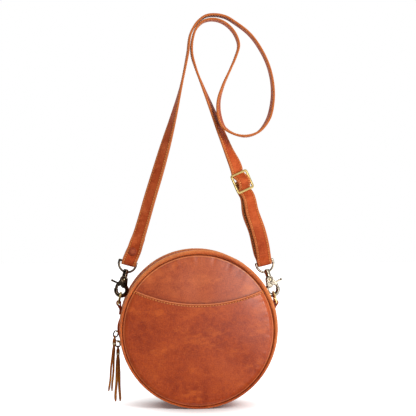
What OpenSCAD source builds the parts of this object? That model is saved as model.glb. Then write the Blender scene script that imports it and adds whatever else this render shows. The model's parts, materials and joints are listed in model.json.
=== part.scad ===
// Round leather crossbody bag, hanging by its looped strap. Millimetres, +Z up, front toward -Y.
// The origin is where the strap's inner pass rests on the peg that it hangs from.

/* [Bag] */
// Diameter over the rolled edges
bag_d = 200; // [140:1:300]
// Depth over the rolled edges
bag_depth = 71; // [62:1:110]
// Diameter of the rolled edge round each face
roll_d = 6; // [5:0.5:9]
// Thickness of the outer leather
leather_t = 1.8; // [1:0.1:2.4]
// Thickness of the lining
lining_t = 0.6; // [0.3:0.1:1.2]
// Radius of the curve of the slip pocket's mouth
mouth_r = 195; // [150:1:300]
// Height of the pocket's mouth over the middle of the bag
mouth_rise = 31.5; // [5:0.5:50]
// Angle of the side seams below the middle of the bag
seam_drop = 14.8; // [8:0.1:25]

/* [Zip] */
// Width of the slot that shows the teeth
zip_slot = 8; // [7:0.5:10]
// Distance of the zip from the middle of the gusset, toward the front
zip_shift = 17; // [16.5:0.5:18]
// Width of the closed row of teeth
teeth_w = 4.4; // [3:0.1:4.8]
// Height of the teeth
teeth_h = 1.4; // [0.8:0.1:1.6]
// Width of each tape
tape_w = 9; // [6:0.5:10]
// Thickness of the tapes
tape_t = 0.8; // [0.4:0.1:1]
// Length of a slider along the track
slider_l = 10.5; // [8:0.5:12]
// Thickness of a slider's plate
slider_t = 1.6; // [1:0.1:2]
// Diameter of the bail over a slider
bail_d = 1.6; // [1.2:0.1:1.8]

/* [Pulls] */
// Height of a pull ring
ring_h = 9; // [8:0.5:10]
// Width of a pull ring
ring_w = 5.6; // [5:0.1:6]
// Wire of a pull ring
ring_wire = 1; // [0.8:0.1:1.2]
// Length of a tassel
tassel_l = 69; // [40:1:80]
// Width of the lace's head, where it is folded
lace_w = 4.6; // [4:0.1:5]
// Thickness of the lace
lace_t = 1.2; // [0.8:0.1:1.3]

/* [Side loops] */
// Inside width of a D ring
dring_w = 16; // [14:0.5:18]
// Straight length of a D ring's legs
dring_leg = 4; // [2:0.5:6]
// Wire of a D ring
dring_wire = 2.6; // [2:0.1:2.8]
// Width of a leather loop
tab_w = 14; // [10:0.5:15]
// Thickness of a leather loop
tab_t = 1.6; // [1:0.1:2]
// Length of a leather loop below its ring
tab_l = 12.5; // [10:0.5:16]

/* [Hooks] */
// Radius of the bow, to the middle of its wire
bow_r = 7; // [6.6:0.1:8]
// Wire of the bow
bow_wire = 4.1; // [3.4:0.1:4.2]
// Length from the eye's bar to the middle of the bow
hook_l = 37.5; // [37:0.1:40]
// Thickness of the hook's body
body_t = 6; // [5:0.1:7]
// Wire of the swivel eye
eye_wire = 2.4; // [2:0.1:2.8]
// Straight length of the eye's sides
eye_leg = 2.5; // [2.2:0.1:4]
// Diameter of the hook's stem
stem_d = 3.4; // [2.8:0.1:3.8]
// Thickness of the trigger
trigger_t = 2.2; // [1.6:0.1:2.4]
// Diameter of the trigger's pin
pin_d = 2; // [1.6:0.1:2.4]

/* [Strap] */
// Height from the eyes' bars up to the peg
hang_h = 309; // [290:1:340]
// Width of the strap
strap_w = 18.6; // [16:0.1:18.8]
// Thickness of the strap
strap_t = 3.2; // [2.6:0.1:3.3]
// Length of the lap behind the left fold
lap_l = 34; // [30:1:38]
// Width of the cap on the left fold
cap_d = 10.5; // [8:0.5:12]

/* [Buckle] */
// Inside width of the buckle's windows
buckle_w = 20.4; // [19.6:0.1:22]
// Height over the buckle
buckle_h = 26; // [25:0.5:29]
// Width of the buckle's bars
bar_w = 2.6; // [2:0.1:2.8]
// Thickness of the strap's end round the middle bar
end_t = 1.8; // [1.4:0.1:2]

/* [Hidden] */
$fn = 96;

// Clearances, and the overrun of cuts
seat_gap = 0.3;
touch_gap = 0.1;
pin_gap = 0.06;
cut_over = 2;

// Colours
leather = [0.72, 0.36, 0.2];
edge_leather = [0.82, 0.46, 0.27];
dark_leather = [0.42, 0.22, 0.13];
lining_cloth = [0.72, 0.62, 0.48];
tape_cloth = [0.45, 0.28, 0.18];
brass = [0.72, 0.58, 0.34];
bright_brass = [0.85, 0.7, 0.42];

// Places round the bag, as radii from its middle and distances from its mid depth
roll_r = (bag_d - roll_d) / 2;
roll_y = (bag_depth - roll_d) / 2;
panel_r = roll_r - roll_d / 2 - touch_gap;
panel_y = roll_y - leather_t / 2;
gusset_r = bag_d / 2 - leather_t / 2 - roll_d / 10;
gusset_in = gusset_r - leather_t;
gusset_y = roll_y - roll_d / 2 - touch_gap;
lining_r = gusset_in - tape_t - touch_gap;
lining_y = panel_y - lining_t;
slot_front = -zip_shift - zip_slot / 2;
slot_back = -zip_shift + zip_slot / 2;
teeth_top = gusset_in + teeth_h;

// Angles round the bag, from +X over the top
seam_right = -seam_drop;
seam_left = 180 + seam_drop;
upper_turn = seam_left - seam_right;
lower_turn = 360 - upper_turn;

// Sliders and pulls. Both sliders are parked at the left end of the zip.
upper_at = 182;
lower_at = 189.2;
slider_w = zip_slot + 2 * leather_t / 3;
slider_in = gusset_r + seat_gap;
bail_r = slider_in + slider_t + 2 * bail_d;
bail_l = slider_w;
lip_t = leather_t / 2;
lip_y = (zip_slot - leather_t / 2) / 2 - lip_t;
ring_turn = (ring_w - ring_wire) / 2;
ring_leg = ring_h - ring_w;
ring_inner = ring_turn - ring_wire / 2;
ring_drop = ring_inner - bail_d / 2 - touch_gap;
pull_shift = bail_l / 2 - bail_d - ring_wire / 2 - touch_gap;
lace_gap = ring_wire / 2 + touch_gap;
// A pull's ring leans outward, and its tassel less, as it bears on the pull below it
upper_lean = 16;
lower_lean = 2;
upper_hang = 7;
lower_hang = 0;
strand_spread = 1.6;
rivet_share = 0.13;
rivet_d = lace_w * 0.56;
rivet_t = lace_t / 3;

// The hooks' tilts, outward going down, and the D rings' tilt
tilt_left = 13;
tilt_right = 17;
ring_tilt = 12;
tab_tilt = 9;

// D ring, and its place in the bow
dring_turn = (dring_w + dring_wire) / 2;
dring_rise = dring_turn + dring_leg;
wire_drop = bow_r - bow_wire / 2 - 1.5 * seat_gap - dring_wire / 2;

// The ring's bar hangs off the bag's side: its radius and angle there
tab_rise = 4.2;
bar_out = gusset_r + dring_wire / 2 + tab_t + tab_rise;
bar_at = 17.3;
bar_x = bar_out * cos(bar_at);
bar_z = bar_out * sin(bar_at);
wire_x = bar_x - dring_rise * sin(ring_tilt);
wire_z = bar_z + dring_rise * cos(ring_tilt);

// The bow's and the eye's places from the ring's wire
function bow_off(tilt) = wire_x - wire_drop * sin(tilt);
function eye_off(tilt) = bow_off(tilt) - hook_l * sin(tilt);
function hook_up(tilt) = wire_z + (wire_drop + hook_l) * cos(tilt);
eye_span = eye_off(tilt_left) + eye_off(tilt_right);
eye_share = 0.608;
bag_x = eye_off(tilt_left) - eye_share * eye_span;
bag_z = -hang_h - hook_up(tilt_left);
eye_left = [bag_x - eye_off(tilt_left), 0, bag_z + hook_up(tilt_left)];
eye_right = [bag_x + eye_off(tilt_right), 0, bag_z + hook_up(tilt_right)];

// Hook shapes, in the hook's own frame: the eye's bar at the origin, the bow below it
eye_r = strap_w / 2 + 2 * seat_gap + eye_wire / 2;
collar_d = 2 * stem_d;
collar_h = 1.6 * eye_wire;
collar_z = -eye_r - eye_leg;
collar_top = collar_z + collar_h / 2;
collar_low = collar_z - collar_h / 2;
stem_head_h = stem_d / 3;
neck_h = stem_d * 0.7;
pivot_z = -hook_l + 2 * bow_r;
hub_r = bow_wire * 1.1;
slot_t = trigger_t + 2 * touch_gap;
bow_tip_at = 176;
bow_root_at = 415;
lever_r = pin_d * 1.3;
lever_w = bow_wire * 0.55;
pin_head_t = body_t / 12;

// Buckle, in its own frame: X across the strap, Y along it, Z out of its grain side
rail_y = buckle_h / 2 - bar_w / 2;
wrap_in = bar_w / 2 + touch_gap;
wrap_out = wrap_in + end_t;
bar_clear = bar_w / 2 + seat_gap + strap_t / 2;
wrap_clear = wrap_out + seat_gap + strap_t / 2;
weave = asin((bar_clear + wrap_clear) / rail_y);
buckle_yaw = -58;
wrap_turn = 240;
wrap_tail = 10;

// Route of the strap: shares of eye_span along X, of strap_w along Y and of hang_h along Z,
// with the turn of its width from edge-on, in degrees. The left leg goes up from its fold,
// over the peg, round the hanging loop and back over the peg to the right leg.
left_leg_shares = [
    [-0.494, 0, -0.828, 55], [-0.4528, 0, -0.745, 54], [-0.3965, 0, -0.639, 51],
    [-0.342, 0, -0.533, 42], [-0.2738, 0, -0.395, 20], [-0.2153, 0, -0.260, 1],
    [-0.172, 0, -0.136, 2]
];
outer_pass_shares = [
    [-0.145, 0, -0.046, 0], [-0.090, 0, 0.000, 0], [-0.040, 0, 0.0195, 0], [0.030, 0, 0.0245, 0],
    [0.102, 0, 0.017, 0], [0.182, 0, -0.009, 0], [0.282, 0, -0.053, 0]
];
hanging_loop_shares = [
    [0.367, 0, -0.118, 0], [0.427, 0, -0.192, 0], [0.454, -0.05, -0.270, 2],
    [0.451, -0.12, -0.338, 5], [0.414, -0.25, -0.414, 7], [0.338, -0.40, -0.465, 0],
    [0.250, -0.50, -0.480, -8], [0.160, -0.50, -0.470, -15], [0.090, -0.45, -0.443, -18],
    [0.060, -0.38, -0.400, -18], [0.053, -0.28, -0.343, -14], [0.086, -0.15, -0.272, -7],
    [0.139, -0.05, -0.204, -2], [0.181, 0, -0.148, 0]
];
inner_pass_shares = [
    [0.203, 0, -0.100, 0], [0.180, 0, -0.058, 0], [0.130, 0, -0.022, 0], [0.066, 0, 0.000, 0],
    [0, 0, 0.0055, 0], [-0.058, 0, -0.003, 0], [-0.105, 0, -0.028, 0], [-0.136, 0, -0.076, 0]
];
right_leg_shares = [
    [-0.141, 0, -0.138, 0], [-0.1166, 0, -0.190, -3], [-0.0613, 0, -0.272, -10],
    [0.000, 0, -0.357, -20], [0.064, 0, -0.448, -32], [0.126, 0, -0.534, -42]
];
buckle_share = [0.230, -0.668];
lower_leg_shares = [[0.306, 0, -0.799, -72], [0.351, 0, -0.874, -84]];

function routed(shares, tilt) =
    [for (p = shares) [p[0] * eye_span, p[1] * strap_w, p[2] * hang_h, p[3], tilt, strap_t]];

// Vectors of the strap's sections. Its width starts from a hint and is squared to the route.
function unit(v) = v / norm(v);
function place(p) = [p[0], p[1], p[2]];
function width_hint(yaw, tilt) = [sin(yaw) * cos(tilt), -cos(yaw), -sin(yaw) * sin(tilt)];
function square_to(hint, along) = unit(hint - (hint * along) * along);
function moved(p, by) = [p[0] + by[0], p[1] + by[1], p[2] + by[2], p[3], p[4], p[5]];

// The strap's turn round an eye's bar, from above it on one side to above it on the other.
// side is 1 where the strap comes down in front and -1 where it comes up in front.
fold_play = 0.6;
turn_r = eye_wire / 2 + fold_play + strap_t / 2;
layer_off = (strap_t + seat_gap) / 2;
fold_tilt_left = 15;
fold_tilt_right = -14;
lap_lean = 8;
right_lean = 4;
lap_yaws = [88, 80, 70, 60];
lap_shares = [0.28, 0.5, 0.75, 1];
function fold_up(tilt) = [sin(tilt), 0, cos(tilt)];
function lap_point(eye, tilt, yaw, rise, off) =
    let (up = fold_up(tilt))
    let (width = square_to(width_hint(yaw, tilt), up))
    let (p = eye + rise * up + off * cross(width, up))
    [p[0], p[1], p[2], yaw, tilt, strap_t];
function turn_point(eye, tilt, yaw, at) =
    let (p = eye + turn_r * (cos(at) * [0, 1, 0] - sin(at) * fold_up(tilt)))
    [p[0], p[1], p[2], yaw, tilt, strap_t];
function left_lap(k, off) =
    lap_point(eye_left, fold_tilt_left + lap_lean * lap_shares[k], lap_yaws[k], lap_shares[k] * lap_l, off);
left_fold = concat(
    [for (k = [len(lap_shares) - 1:-1:0])
        left_lap(k, -layer_off - 3 * touch_gap)],
    [for (at = [0:45:180]) turn_point(eye_left, fold_tilt_left, 90, at)],
    [for (k = [0:len(lap_shares) - 1])
        left_lap(k, layer_off)]
);

// The buckle lies on the straight of the right leg, which runs down and outward
leg_from = place(routed(right_leg_shares, 0)[len(right_leg_shares) - 1]);
buckle_at = [buckle_share[0] * eye_span, 0, buckle_share[1] * hang_h];
leg_along = unit(buckle_at - leg_from);
leg_tilt = atan(leg_along[0] / leg_along[2]);
leg_across = width_hint(buckle_yaw, leg_tilt);
leg_out = cross(leg_across, leg_along);
function in_leg(y, z, t) =
    let (p = buckle_at + y * leg_along + z * leg_out)
    [p[0], p[1], p[2], buckle_yaw, leg_tilt, t];
hump_end = rail_y + strap_t * 1.7;
wrap_foot = end_t / 2 * sin(wrap_tail) + wrap_in;
function past_rail(side) =
    in_leg(side * (rail_y - bar_clear * sin(weave)), -bar_clear * cos(weave), strap_t);
function past_wrap(side) = in_leg(side * wrap_clear * sin(weave), wrap_clear * cos(weave), strap_t);
buckle_pass = [
    in_leg(-hump_end, -strap_t / 4, strap_t), in_leg(-rail_y, -bar_clear, strap_t), past_rail(-1),
    past_wrap(-1), in_leg(0, wrap_clear, strap_t), past_wrap(1),
    past_rail(1), in_leg(rail_y, -bar_clear, strap_t), in_leg(hump_end, -strap_t / 4, strap_t)
];

// The right fold, and the layer that goes back up behind it to the buckle's middle bar
right_lap_l = 20;
right_yaw = -88;
fold_rise_shares = [0.9, 0.55, 0.3];
function right_lap(k, off) =
    lap_point(eye_right, fold_tilt_right + right_lean * fold_rise_shares[k], right_yaw, fold_rise_shares[k] * right_lap_l, off);
back_sag = strap_w / 5;
function behind(shares, out) =
    let (p = routed([shares], leg_tilt)[0])
    moved(p, -out * cross(width_hint(p[3], leg_tilt), leg_along) - [back_sag, 0, 0]);
right_fold = concat(
    [for (k = [0:2]) right_lap(k, -layer_off)],
    [for (at = [180:-45:0]) turn_point(eye_right, fold_tilt_right, -90, at)],
    [for (k = [2:-1:0]) right_lap(k, layer_off)]
);
back_layer = [
    behind(lower_leg_shares[1], 2 * strap_t), behind(lower_leg_shares[0], 2.2 * strap_t),
    in_leg(hump_end, -2 * strap_t, strap_t), in_leg(rail_y, -bar_clear - strap_t - 2 * seat_gap, strap_t * 0.9),
    in_leg(rail_y / 2, -bar_clear - end_t / 2 - seat_gap, end_t), in_leg(wrap_foot, -wrap_in - end_t / 2, end_t)
];

// The whole route, smoothed, and where each stretch starts in it
route = concat(
    left_fold, routed(left_leg_shares, fold_tilt_left), routed(outer_pass_shares, 0),
    routed(hanging_loop_shares, 0), routed(inner_pass_shares, 0), routed(right_leg_shares, leg_tilt),
    buckle_pass, routed(lower_leg_shares, leg_tilt), right_fold, back_layer
);
route_steps = 3;
main_end = len(left_fold) + len(left_leg_shares) + len(outer_pass_shares)
    + len(hanging_loop_shares) + len(inner_pass_shares) + len(right_leg_shares) - 1;
pass_start = main_end + 1;
pass_end = main_end + len(buckle_pass);
fold_start = pass_end + len(lower_leg_shares) + 1;
fold_end = fold_start + len(right_fold) - 1;
route_end = len(route) - 1;

function run(i) = norm(place(route[i + 1]) - place(route[i]));
function slope(i) =
    i == 0 ? (route[1] - route[0]) / run(0)
    : i == route_end ? (route[i] - route[i - 1]) / run(i - 1)
    : let (p = run(i - 1), q = run(i))
        ((route[i] - route[i - 1]) * q / p + (route[i + 1] - route[i]) * p / q) / (p + q);
function between(i, s) =
    let (hold = s * s * (3 - 2 * s))
    route[i] * (1 - hold) + route[i + 1] * hold
    + run(i) * (slope(i) * s * (1 - s) * (1 - s) - slope(i + 1) * s * s * (1 - s));
fine = concat(
    [for (i = [0:route_end - 1]) for (j = [0:route_steps - 1]) between(i, j / route_steps)],
    [route[route_end]]
);
fine_end = len(fine) - 1;

// Section of the strap: a flat strip whose edges are bevelled
bevel = strap_t / 5;
function section(half_w, half_t) = [
    [half_w - bevel, half_t], [half_w, half_t - bevel], [half_w, bevel - half_t],
    [half_w - bevel, -half_t], [bevel - half_w, -half_t], [-half_w, bevel - half_t],
    [-half_w, half_t - bevel], [bevel - half_w, half_t]
];
function strap_ring(i) =
    let (p = fine[i])
    let (along = unit(place(fine[min(i + 1, fine_end)]) - place(fine[max(i - 1, 0)])))
    let (width = square_to(width_hint(p[3], p[4]), along))
    let (out = cross(width, along))
    [for (q = section(strap_w / 2, p[5] / 2)) place(p) + q[0] * width + q[1] * out];

// One stretch of the strap, between two of the route's own points
module strap_stretch(from, to) {
    first = from * route_steps;
    last = to * route_steps;
    sides = len(section(strap_w, strap_t));
    rings = last - first + 1;
    points = [for (i = [first:last]) each strap_ring(i)];
    walls = [for (i = [0:rings - 2]) for (j = [0:sides - 1])
        let (a = i * sides + j, b = i * sides + (j + 1) % sides)
        each [[a, b + sides, b], [a, a + sides, b + sides]]];
    start_cap = [for (j = [1:sides - 2]) [0, j, j + 1]];
    top = (rings - 1) * sides;
    end_cap = [for (j = [1:sides - 2]) [top, top + j + 1, top + j]];
    color(leather) polyhedron(points = points, faces = concat(walls, start_cap, end_cap));
}

// Frames: the bag's middle, a place on the zip's track, and a hook's own frame
module in_bag() {
    translate([bag_x, 0, bag_z]) children();
}
module on_track(at) {
    in_bag() rotate([0, -at, 0]) translate([0, -zip_shift, 0]) children();
}
module in_hook(eye, tilt) {
    translate(eye) rotate([0, tilt, 0]) children();
}
module along_y(y_from, y_to) {
    translate([0, y_from, 0]) rotate([-90, 0, 0]) linear_extrude(y_to - y_from) children();
}

// A band round the bag's Y axis, from one angle through a turn
module arc_band(r_out, thick, y_from, y_to, from, turn) {
    rotate([90, 0, 0]) rotate([0, 0, from]) rotate_extrude(angle = turn)
        translate([r_out - thick, -y_to]) square([thick, y_to - y_from]);
}
module ring_band(r_out, thick, y_from, y_to) {
    rotate([90, 0, 0]) rotate_extrude()
        translate([r_out - thick, -y_to]) square([thick, y_to - y_from]);
}
module disc(r, y_from, y_to) {
    along_y(y_from, y_to) circle(r);
}

// Panels, linings and rolled edges
module front_panel() {
    color(leather) in_bag() disc(panel_r, -panel_y - leather_t, -panel_y);
}
module front_pocket() {
    color(leather) in_bag() difference() {
        disc(panel_r, -panel_y - 2 * leather_t, -panel_y - leather_t);
        translate([0, 0, mouth_rise + mouth_r])
            disc(mouth_r, -panel_y - 2 * leather_t - cut_over, -panel_y - leather_t + cut_over);
    }
}
module edge_roll(y) {
    color(edge_leather) in_bag() translate([0, y, 0]) rotate([90, 0, 0])
        rotate_extrude() translate([roll_r, 0]) circle(d = roll_d, $fn = 48);
}
module front_roll() {
    edge_roll(-roll_y);
}
module back_roll() {
    edge_roll(roll_y);
}
module front_lining() {
    color(lining_cloth) in_bag() disc(panel_r, -panel_y, -lining_y);
}
module back_panel() {
    color(leather) in_bag() disc(panel_r, panel_y, panel_y + leather_t);
}
module back_lining() {
    color(lining_cloth) in_bag() disc(panel_r, lining_y, panel_y);
}

// Gusset: plain leather below the side seams, and two strips with the zip between them above
module gusset_lower() {
    color(leather) in_bag() arc_band(gusset_r, leather_t, -gusset_y, gusset_y, seam_left, lower_turn);
}
module gusset_strip_front() {
    color(leather) in_bag() arc_band(gusset_r, leather_t, -gusset_y, slot_front, seam_right, upper_turn);
}
module gusset_strip_back() {
    color(leather) in_bag() arc_band(gusset_r, leather_t, slot_back, gusset_y, seam_right, upper_turn);
}
module gusset_lining() {
    color(lining_cloth) in_bag() difference() {
        ring_band(lining_r, lining_t, -gusset_y, gusset_y);
        arc_band(lining_r + cut_over, lining_t + 2 * cut_over, slot_front, slot_back, seam_right, upper_turn);
    }
}

// Zip
module zip_tape_front() {
    color(tape_cloth) in_bag()
        arc_band(gusset_in, tape_t, -zip_shift - tape_w, -zip_shift, seam_right, upper_turn);
}
module zip_tape_back() {
    color(tape_cloth) in_bag()
        arc_band(gusset_in, tape_t, -zip_shift, -zip_shift + tape_w, seam_right, upper_turn);
}
module zip_teeth_front() {
    color(brass) in_bag()
        arc_band(teeth_top, teeth_h, -zip_shift - teeth_w / 2, -zip_shift, seam_right, upper_turn);
}
module zip_teeth_back() {
    color(brass) in_bag()
        arc_band(teeth_top, teeth_h, -zip_shift, -zip_shift + teeth_w / 2, seam_right, upper_turn);
}

// A slider: its plate over the slot, two lips beside the teeth, and a bail for the ring
module slider(at) {
    lip_in = gusset_in + seat_gap;
    color(brass) on_track(at) {
        translate([slider_in, -slider_w / 2, -slider_l / 2]) cube([slider_t, slider_w, slider_l]);
        for (side = [-1, 1]) {
            translate([lip_in, side * (lip_y + lip_t / 2) - lip_t / 2, -slider_l / 2])
                cube([slider_in - lip_in, lip_t, slider_l]);
            translate([slider_in + slider_t, side * (bail_l - bail_d) / 2, 0]) rotate([0, 90, 0])
                cylinder(h = bail_r - slider_in - slider_t, d = bail_d, $fn = 32);
            translate([bail_r, side * (bail_l - bail_d) / 2, 0]) sphere(d = bail_d, $fn = 32);
        }
        translate([bail_r, 0, 0]) along_y((bail_d - bail_l) / 2, (bail_l - bail_d) / 2)
            circle(d = bail_d, $fn = 32);
    }
}
module slider_upper() {
    slider(upper_at);
}
module slider_lower() {
    slider(lower_at);
}

// A pull hangs from its bail, whose middle is the pull's own origin, and leans outward
module at_bail(at, shift, lean) {
    in_bag() translate([bail_r * cos(at), -zip_shift + shift, bail_r * sin(at)])
        rotate([0, lean, 0]) children();
}
module pull_ring(at, shift, lean) {
    color(brass) at_bail(at, shift, lean) translate([0, 0, -ring_drop]) {
        rotate([90, 0, 0]) rotate_extrude(angle = 180)
            translate([ring_turn, 0]) circle(d = ring_wire, $fn = 32);
        translate([0, 0, -ring_leg]) rotate([90, 0, 0]) rotate([0, 0, 180]) rotate_extrude(angle = 180)
            translate([ring_turn, 0]) circle(d = ring_wire, $fn = 32);
        for (side = [-1, 1]) translate([side * ring_turn, 0, -ring_leg])
            cylinder(h = ring_leg, d = ring_wire, $fn = 32);
    }
}
module pull_ring_upper() {
    pull_ring(upper_at, -pull_shift, upper_lean);
}
module pull_ring_lower() {
    pull_ring(lower_at, pull_shift, lower_lean);
}

// A tassel: lace folded through the ring, a rivet, and two strands that hang apart
ring_low = ring_drop + ring_leg + ring_turn;
head_l = tassel_l * rivet_share + rivet_d;
module at_ring_foot(at, shift, lean, hang) {
    at_bail(at, shift, lean) translate([0, 0, -ring_low]) rotate([0, hang - lean, 0]) children();
}
module tassel(at, shift, lean, hang) {
    strand_w = lace_w * 0.55;
    color(dark_leather) at_ring_foot(at, shift, lean, hang) {
        rotate([0, 90, 0]) rotate([0, 0, -90]) translate([0, 0, -lace_w / 2])
            rotate_extrude(angle = 180, $fn = 32) translate([lace_gap, 0]) square([lace_t, lace_w]);
        difference() {
            union() {
                for (side = [-1, 1]) {
                    translate([-lace_w / 2, side * (lace_gap + lace_t / 2) - lace_t / 2, -head_l])
                        cube([lace_w, lace_t, head_l]);
                    translate([0, side * (lace_gap + lace_t / 2), -head_l + strand_w])
                        rotate([0, -side * strand_spread, 0])
                            translate([-strand_w / 2, -lace_t / 2, head_l - tassel_l])
                                cube([strand_w, lace_t, tassel_l - head_l]);
                }
            }
            translate([0, 0, -tassel_l * rivet_share]) along_y(-lace_w, lace_w) circle(d = rivet_d, $fn = 32);
        }
    }
}
module tassel_upper() {
    tassel(upper_at, -pull_shift, upper_lean, upper_hang);
}
module tassel_lower() {
    tassel(lower_at, pull_shift, lower_lean, lower_hang);
}
module tassel_rivet(at, shift, lean, hang) {
    half = lace_gap + lace_t + rivet_t;
    color(brass) at_ring_foot(at, shift, lean, hang) translate([0, 0, -tassel_l * rivet_share])
        along_y(-half, half) circle(d = rivet_d, $fn = 32);
}
module tassel_rivet_upper() {
    tassel_rivet(upper_at, -pull_shift, upper_lean, upper_hang);
}
module tassel_rivet_lower() {
    tassel_rivet(lower_at, pull_shift, lower_lean, lower_hang);
}

// Leather loops at the sides, sewn to the gusset. side is 1 at the right and -1 at the left.
module tab(side) {
    hole = dring_wire / 2 + pin_gap;
    color(leather) in_bag() difference() {
        union() {
            translate([side * bar_x, 0, bar_z]) along_y(-tab_w / 2, tab_w / 2) circle(hole + tab_t);
            translate([side * bar_x, -tab_w / 2, bar_z]) rotate([0, side * tab_tilt, 0])
                translate([touch_gap - hole - tab_t, 0, -tab_l - tab_t])
                    cube([2 * (hole + tab_t - touch_gap), tab_w, tab_l + tab_t]);
        }
        translate([side * bar_x, 0, bar_z]) along_y(-tab_w, tab_w) circle(hole);
        disc(gusset_r + touch_gap, -tab_w, tab_w);
    }
}
module tab_left() {
    tab(-1);
}
module tab_right() {
    tab(1);
}
module d_ring(side) {
    color(brass) in_bag() translate([side * bar_x, 0, bar_z]) rotate([0, -side * ring_tilt, 0]) {
        along_y(-dring_turn, dring_turn) circle(d = dring_wire, $fn = 48);
        for (end = [-1, 1]) {
            translate([0, end * dring_turn, 0]) sphere(d = dring_wire, $fn = 48);
            translate([0, end * dring_turn, 0]) cylinder(h = dring_leg, d = dring_wire, $fn = 48);
        }
        translate([0, 0, dring_leg]) rotate([90, 0, 90]) rotate_extrude(angle = 180)
            translate([dring_turn, 0]) circle(d = dring_wire, $fn = 48);
    }
}
module d_ring_left() {
    d_ring(-1);
}
module d_ring_right() {
    d_ring(1);
}

// Swivel eye: a D whose bar the strap's fold goes round, and a collar for the hook's stem
module swivel_eye(eye, tilt) {
    color(brass) in_hook(eye, tilt) {
        difference() {
            union() {
                rotate([0, 90, 0]) translate([0, 0, -eye_r]) cylinder(h = 2 * eye_r, d = eye_wire, $fn = 48);
                for (end = [-1, 1]) translate([end * eye_r, 0, 0]) {
                    sphere(d = eye_wire, $fn = 48);
                    translate([0, 0, -eye_leg]) cylinder(h = eye_leg, d = eye_wire, $fn = 48);
                }
                translate([0, 0, -eye_leg]) rotate([90, 0, 0]) rotate([0, 0, 180]) rotate_extrude(angle = 180)
                    translate([eye_r, 0]) circle(d = eye_wire, $fn = 48);
                translate([0, 0, collar_low]) cylinder(h = collar_h, d = collar_d);
            }
            translate([0, 0, collar_low - cut_over])
                cylinder(h = collar_h + 2 * cut_over, d = stem_d + 2 * pin_gap);
        }
    }
}
module swivel_eye_left() {
    swivel_eye(eye_left, tilt_left);
}
module swivel_eye_right() {
    swivel_eye(eye_right, -tilt_right);
}

// Hook: headed stem, neck, slotted body and open bow. The slot and the gap face the outside.
module body_outline() {
    circle(hub_r);
    translate([hub_r * 0.35, -bow_r * 0.9]) circle(hub_r * 0.86);
    polygon([[-hub_r, 0], [hub_r, 0], [hub_r * 1.2, -bow_r * 0.9], [-hub_r * 0.5, -bow_r * 0.9]]);
}
module hook(eye, tilt, side) {
    neck_top = collar_low - touch_gap;
    color(brass) in_hook(eye, tilt) mirror([side > 0 ? 1 : 0, 0, 0]) difference() {
        union() {
            translate([0, 0, neck_top - stem_d]) cylinder(h = collar_top + touch_gap - neck_top + stem_d, d = stem_d);
            translate([0, 0, collar_top + touch_gap]) cylinder(h = stem_head_h, d = stem_d * 1.5);
            translate([0, 0, neck_top - neck_h]) cylinder(h = neck_h, d1 = body_t, d2 = stem_d * 1.7);
            translate([0, 0, pivot_z]) cylinder(h = neck_top - neck_h - pivot_z, d = body_t);
            translate([0, body_t / 2, pivot_z]) rotate([90, 0, 0]) linear_extrude(body_t) body_outline();
            translate([0, 0, -hook_l]) rotate([90, 0, 0]) rotate([0, 0, bow_tip_at])
                rotate_extrude(angle = bow_root_at - bow_tip_at)
                    translate([bow_r, 0]) circle(d = bow_wire, $fn = 48);
        }
        translate([0, 0, pivot_z]) along_y(-body_t, body_t) circle(d = pin_d, $fn = 48);
        translate([-2 * hub_r, -slot_t / 2, pivot_z + gate_z - lever_w / 2])
            cube([2 * hub_r + lever_r + seat_gap, slot_t, lever_w / 2 - gate_z + lever_r + seat_gap]);
    }
}
module hook_left() {
    hook(eye_left, tilt_left, -1);
}
module hook_right() {
    hook(eye_right, -tilt_right, 1);
}

// Trigger: a hub on the pin, the gate that closes the bow's gap, and a thumb tab
gate_x = -bow_r * 0.97;
gate_z = -bow_r * 1.63;
thumb_x = -bow_r * 2.05;
thumb_z = -bow_r * 0.62;
elbow_x = -bow_r * 0.93;
elbow_z = -bow_r * 0.85;
module lever_bar(from, to, width) {
    way = to - from;
    translate(from) circle(d = width, $fn = 48);
    translate(from) rotate(atan2(way[1], way[0])) translate([0, -width / 2]) square([norm(way), width]);
    translate(to) circle(d = width, $fn = 48);
}
module trigger(eye, tilt, side) {
    color(brass) in_hook(eye, tilt) mirror([side > 0 ? 1 : 0, 0, 0])
        translate([0, trigger_t / 2, pivot_z]) rotate([90, 0, 0]) linear_extrude(trigger_t) difference() {
            union() {
                circle(lever_r, $fn = 48);
                lever_bar([0, 0], [elbow_x, elbow_z], lever_w);
                lever_bar([elbow_x, elbow_z], [gate_x, gate_z], lever_w);
                lever_bar([elbow_x, elbow_z], [thumb_x, thumb_z], lever_w);
            }
            circle(d = pin_d + 2 * pin_gap, $fn = 48);
        }
}
module trigger_left() {
    trigger(eye_left, tilt_left, -1);
}
module trigger_right() {
    trigger(eye_right, -tilt_right, 1);
}
module trigger_pin(eye, tilt) {
    color(bright_brass) in_hook(eye, tilt) translate([0, 0, pivot_z]) {
        along_y(-body_t / 2, body_t / 2) circle(d = pin_d, $fn = 48);
        for (end = [-1, 1]) translate([0, end * (body_t + pin_head_t) / 2, 0])
            along_y(-pin_head_t / 2, pin_head_t / 2) circle(d = pin_d * 1.6, $fn = 48);
    }
}
module trigger_pin_left() {
    trigger_pin(eye_left, tilt_left);
}
module trigger_pin_right() {
    trigger_pin(eye_right, -tilt_right);
}

// Strap
module strap_main() {
    strap_stretch(0, main_end);
}
module strap_above_buckle() {
    strap_stretch(main_end, pass_start);
}
module strap_in_buckle() {
    strap_stretch(pass_start, pass_end);
}
module strap_lower_front() {
    strap_stretch(pass_end, fold_start);
}
module strap_fold_right() {
    strap_stretch(fold_start, fold_end);
}
module strap_lower_back() {
    strap_stretch(fold_end, route_end);
}

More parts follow.
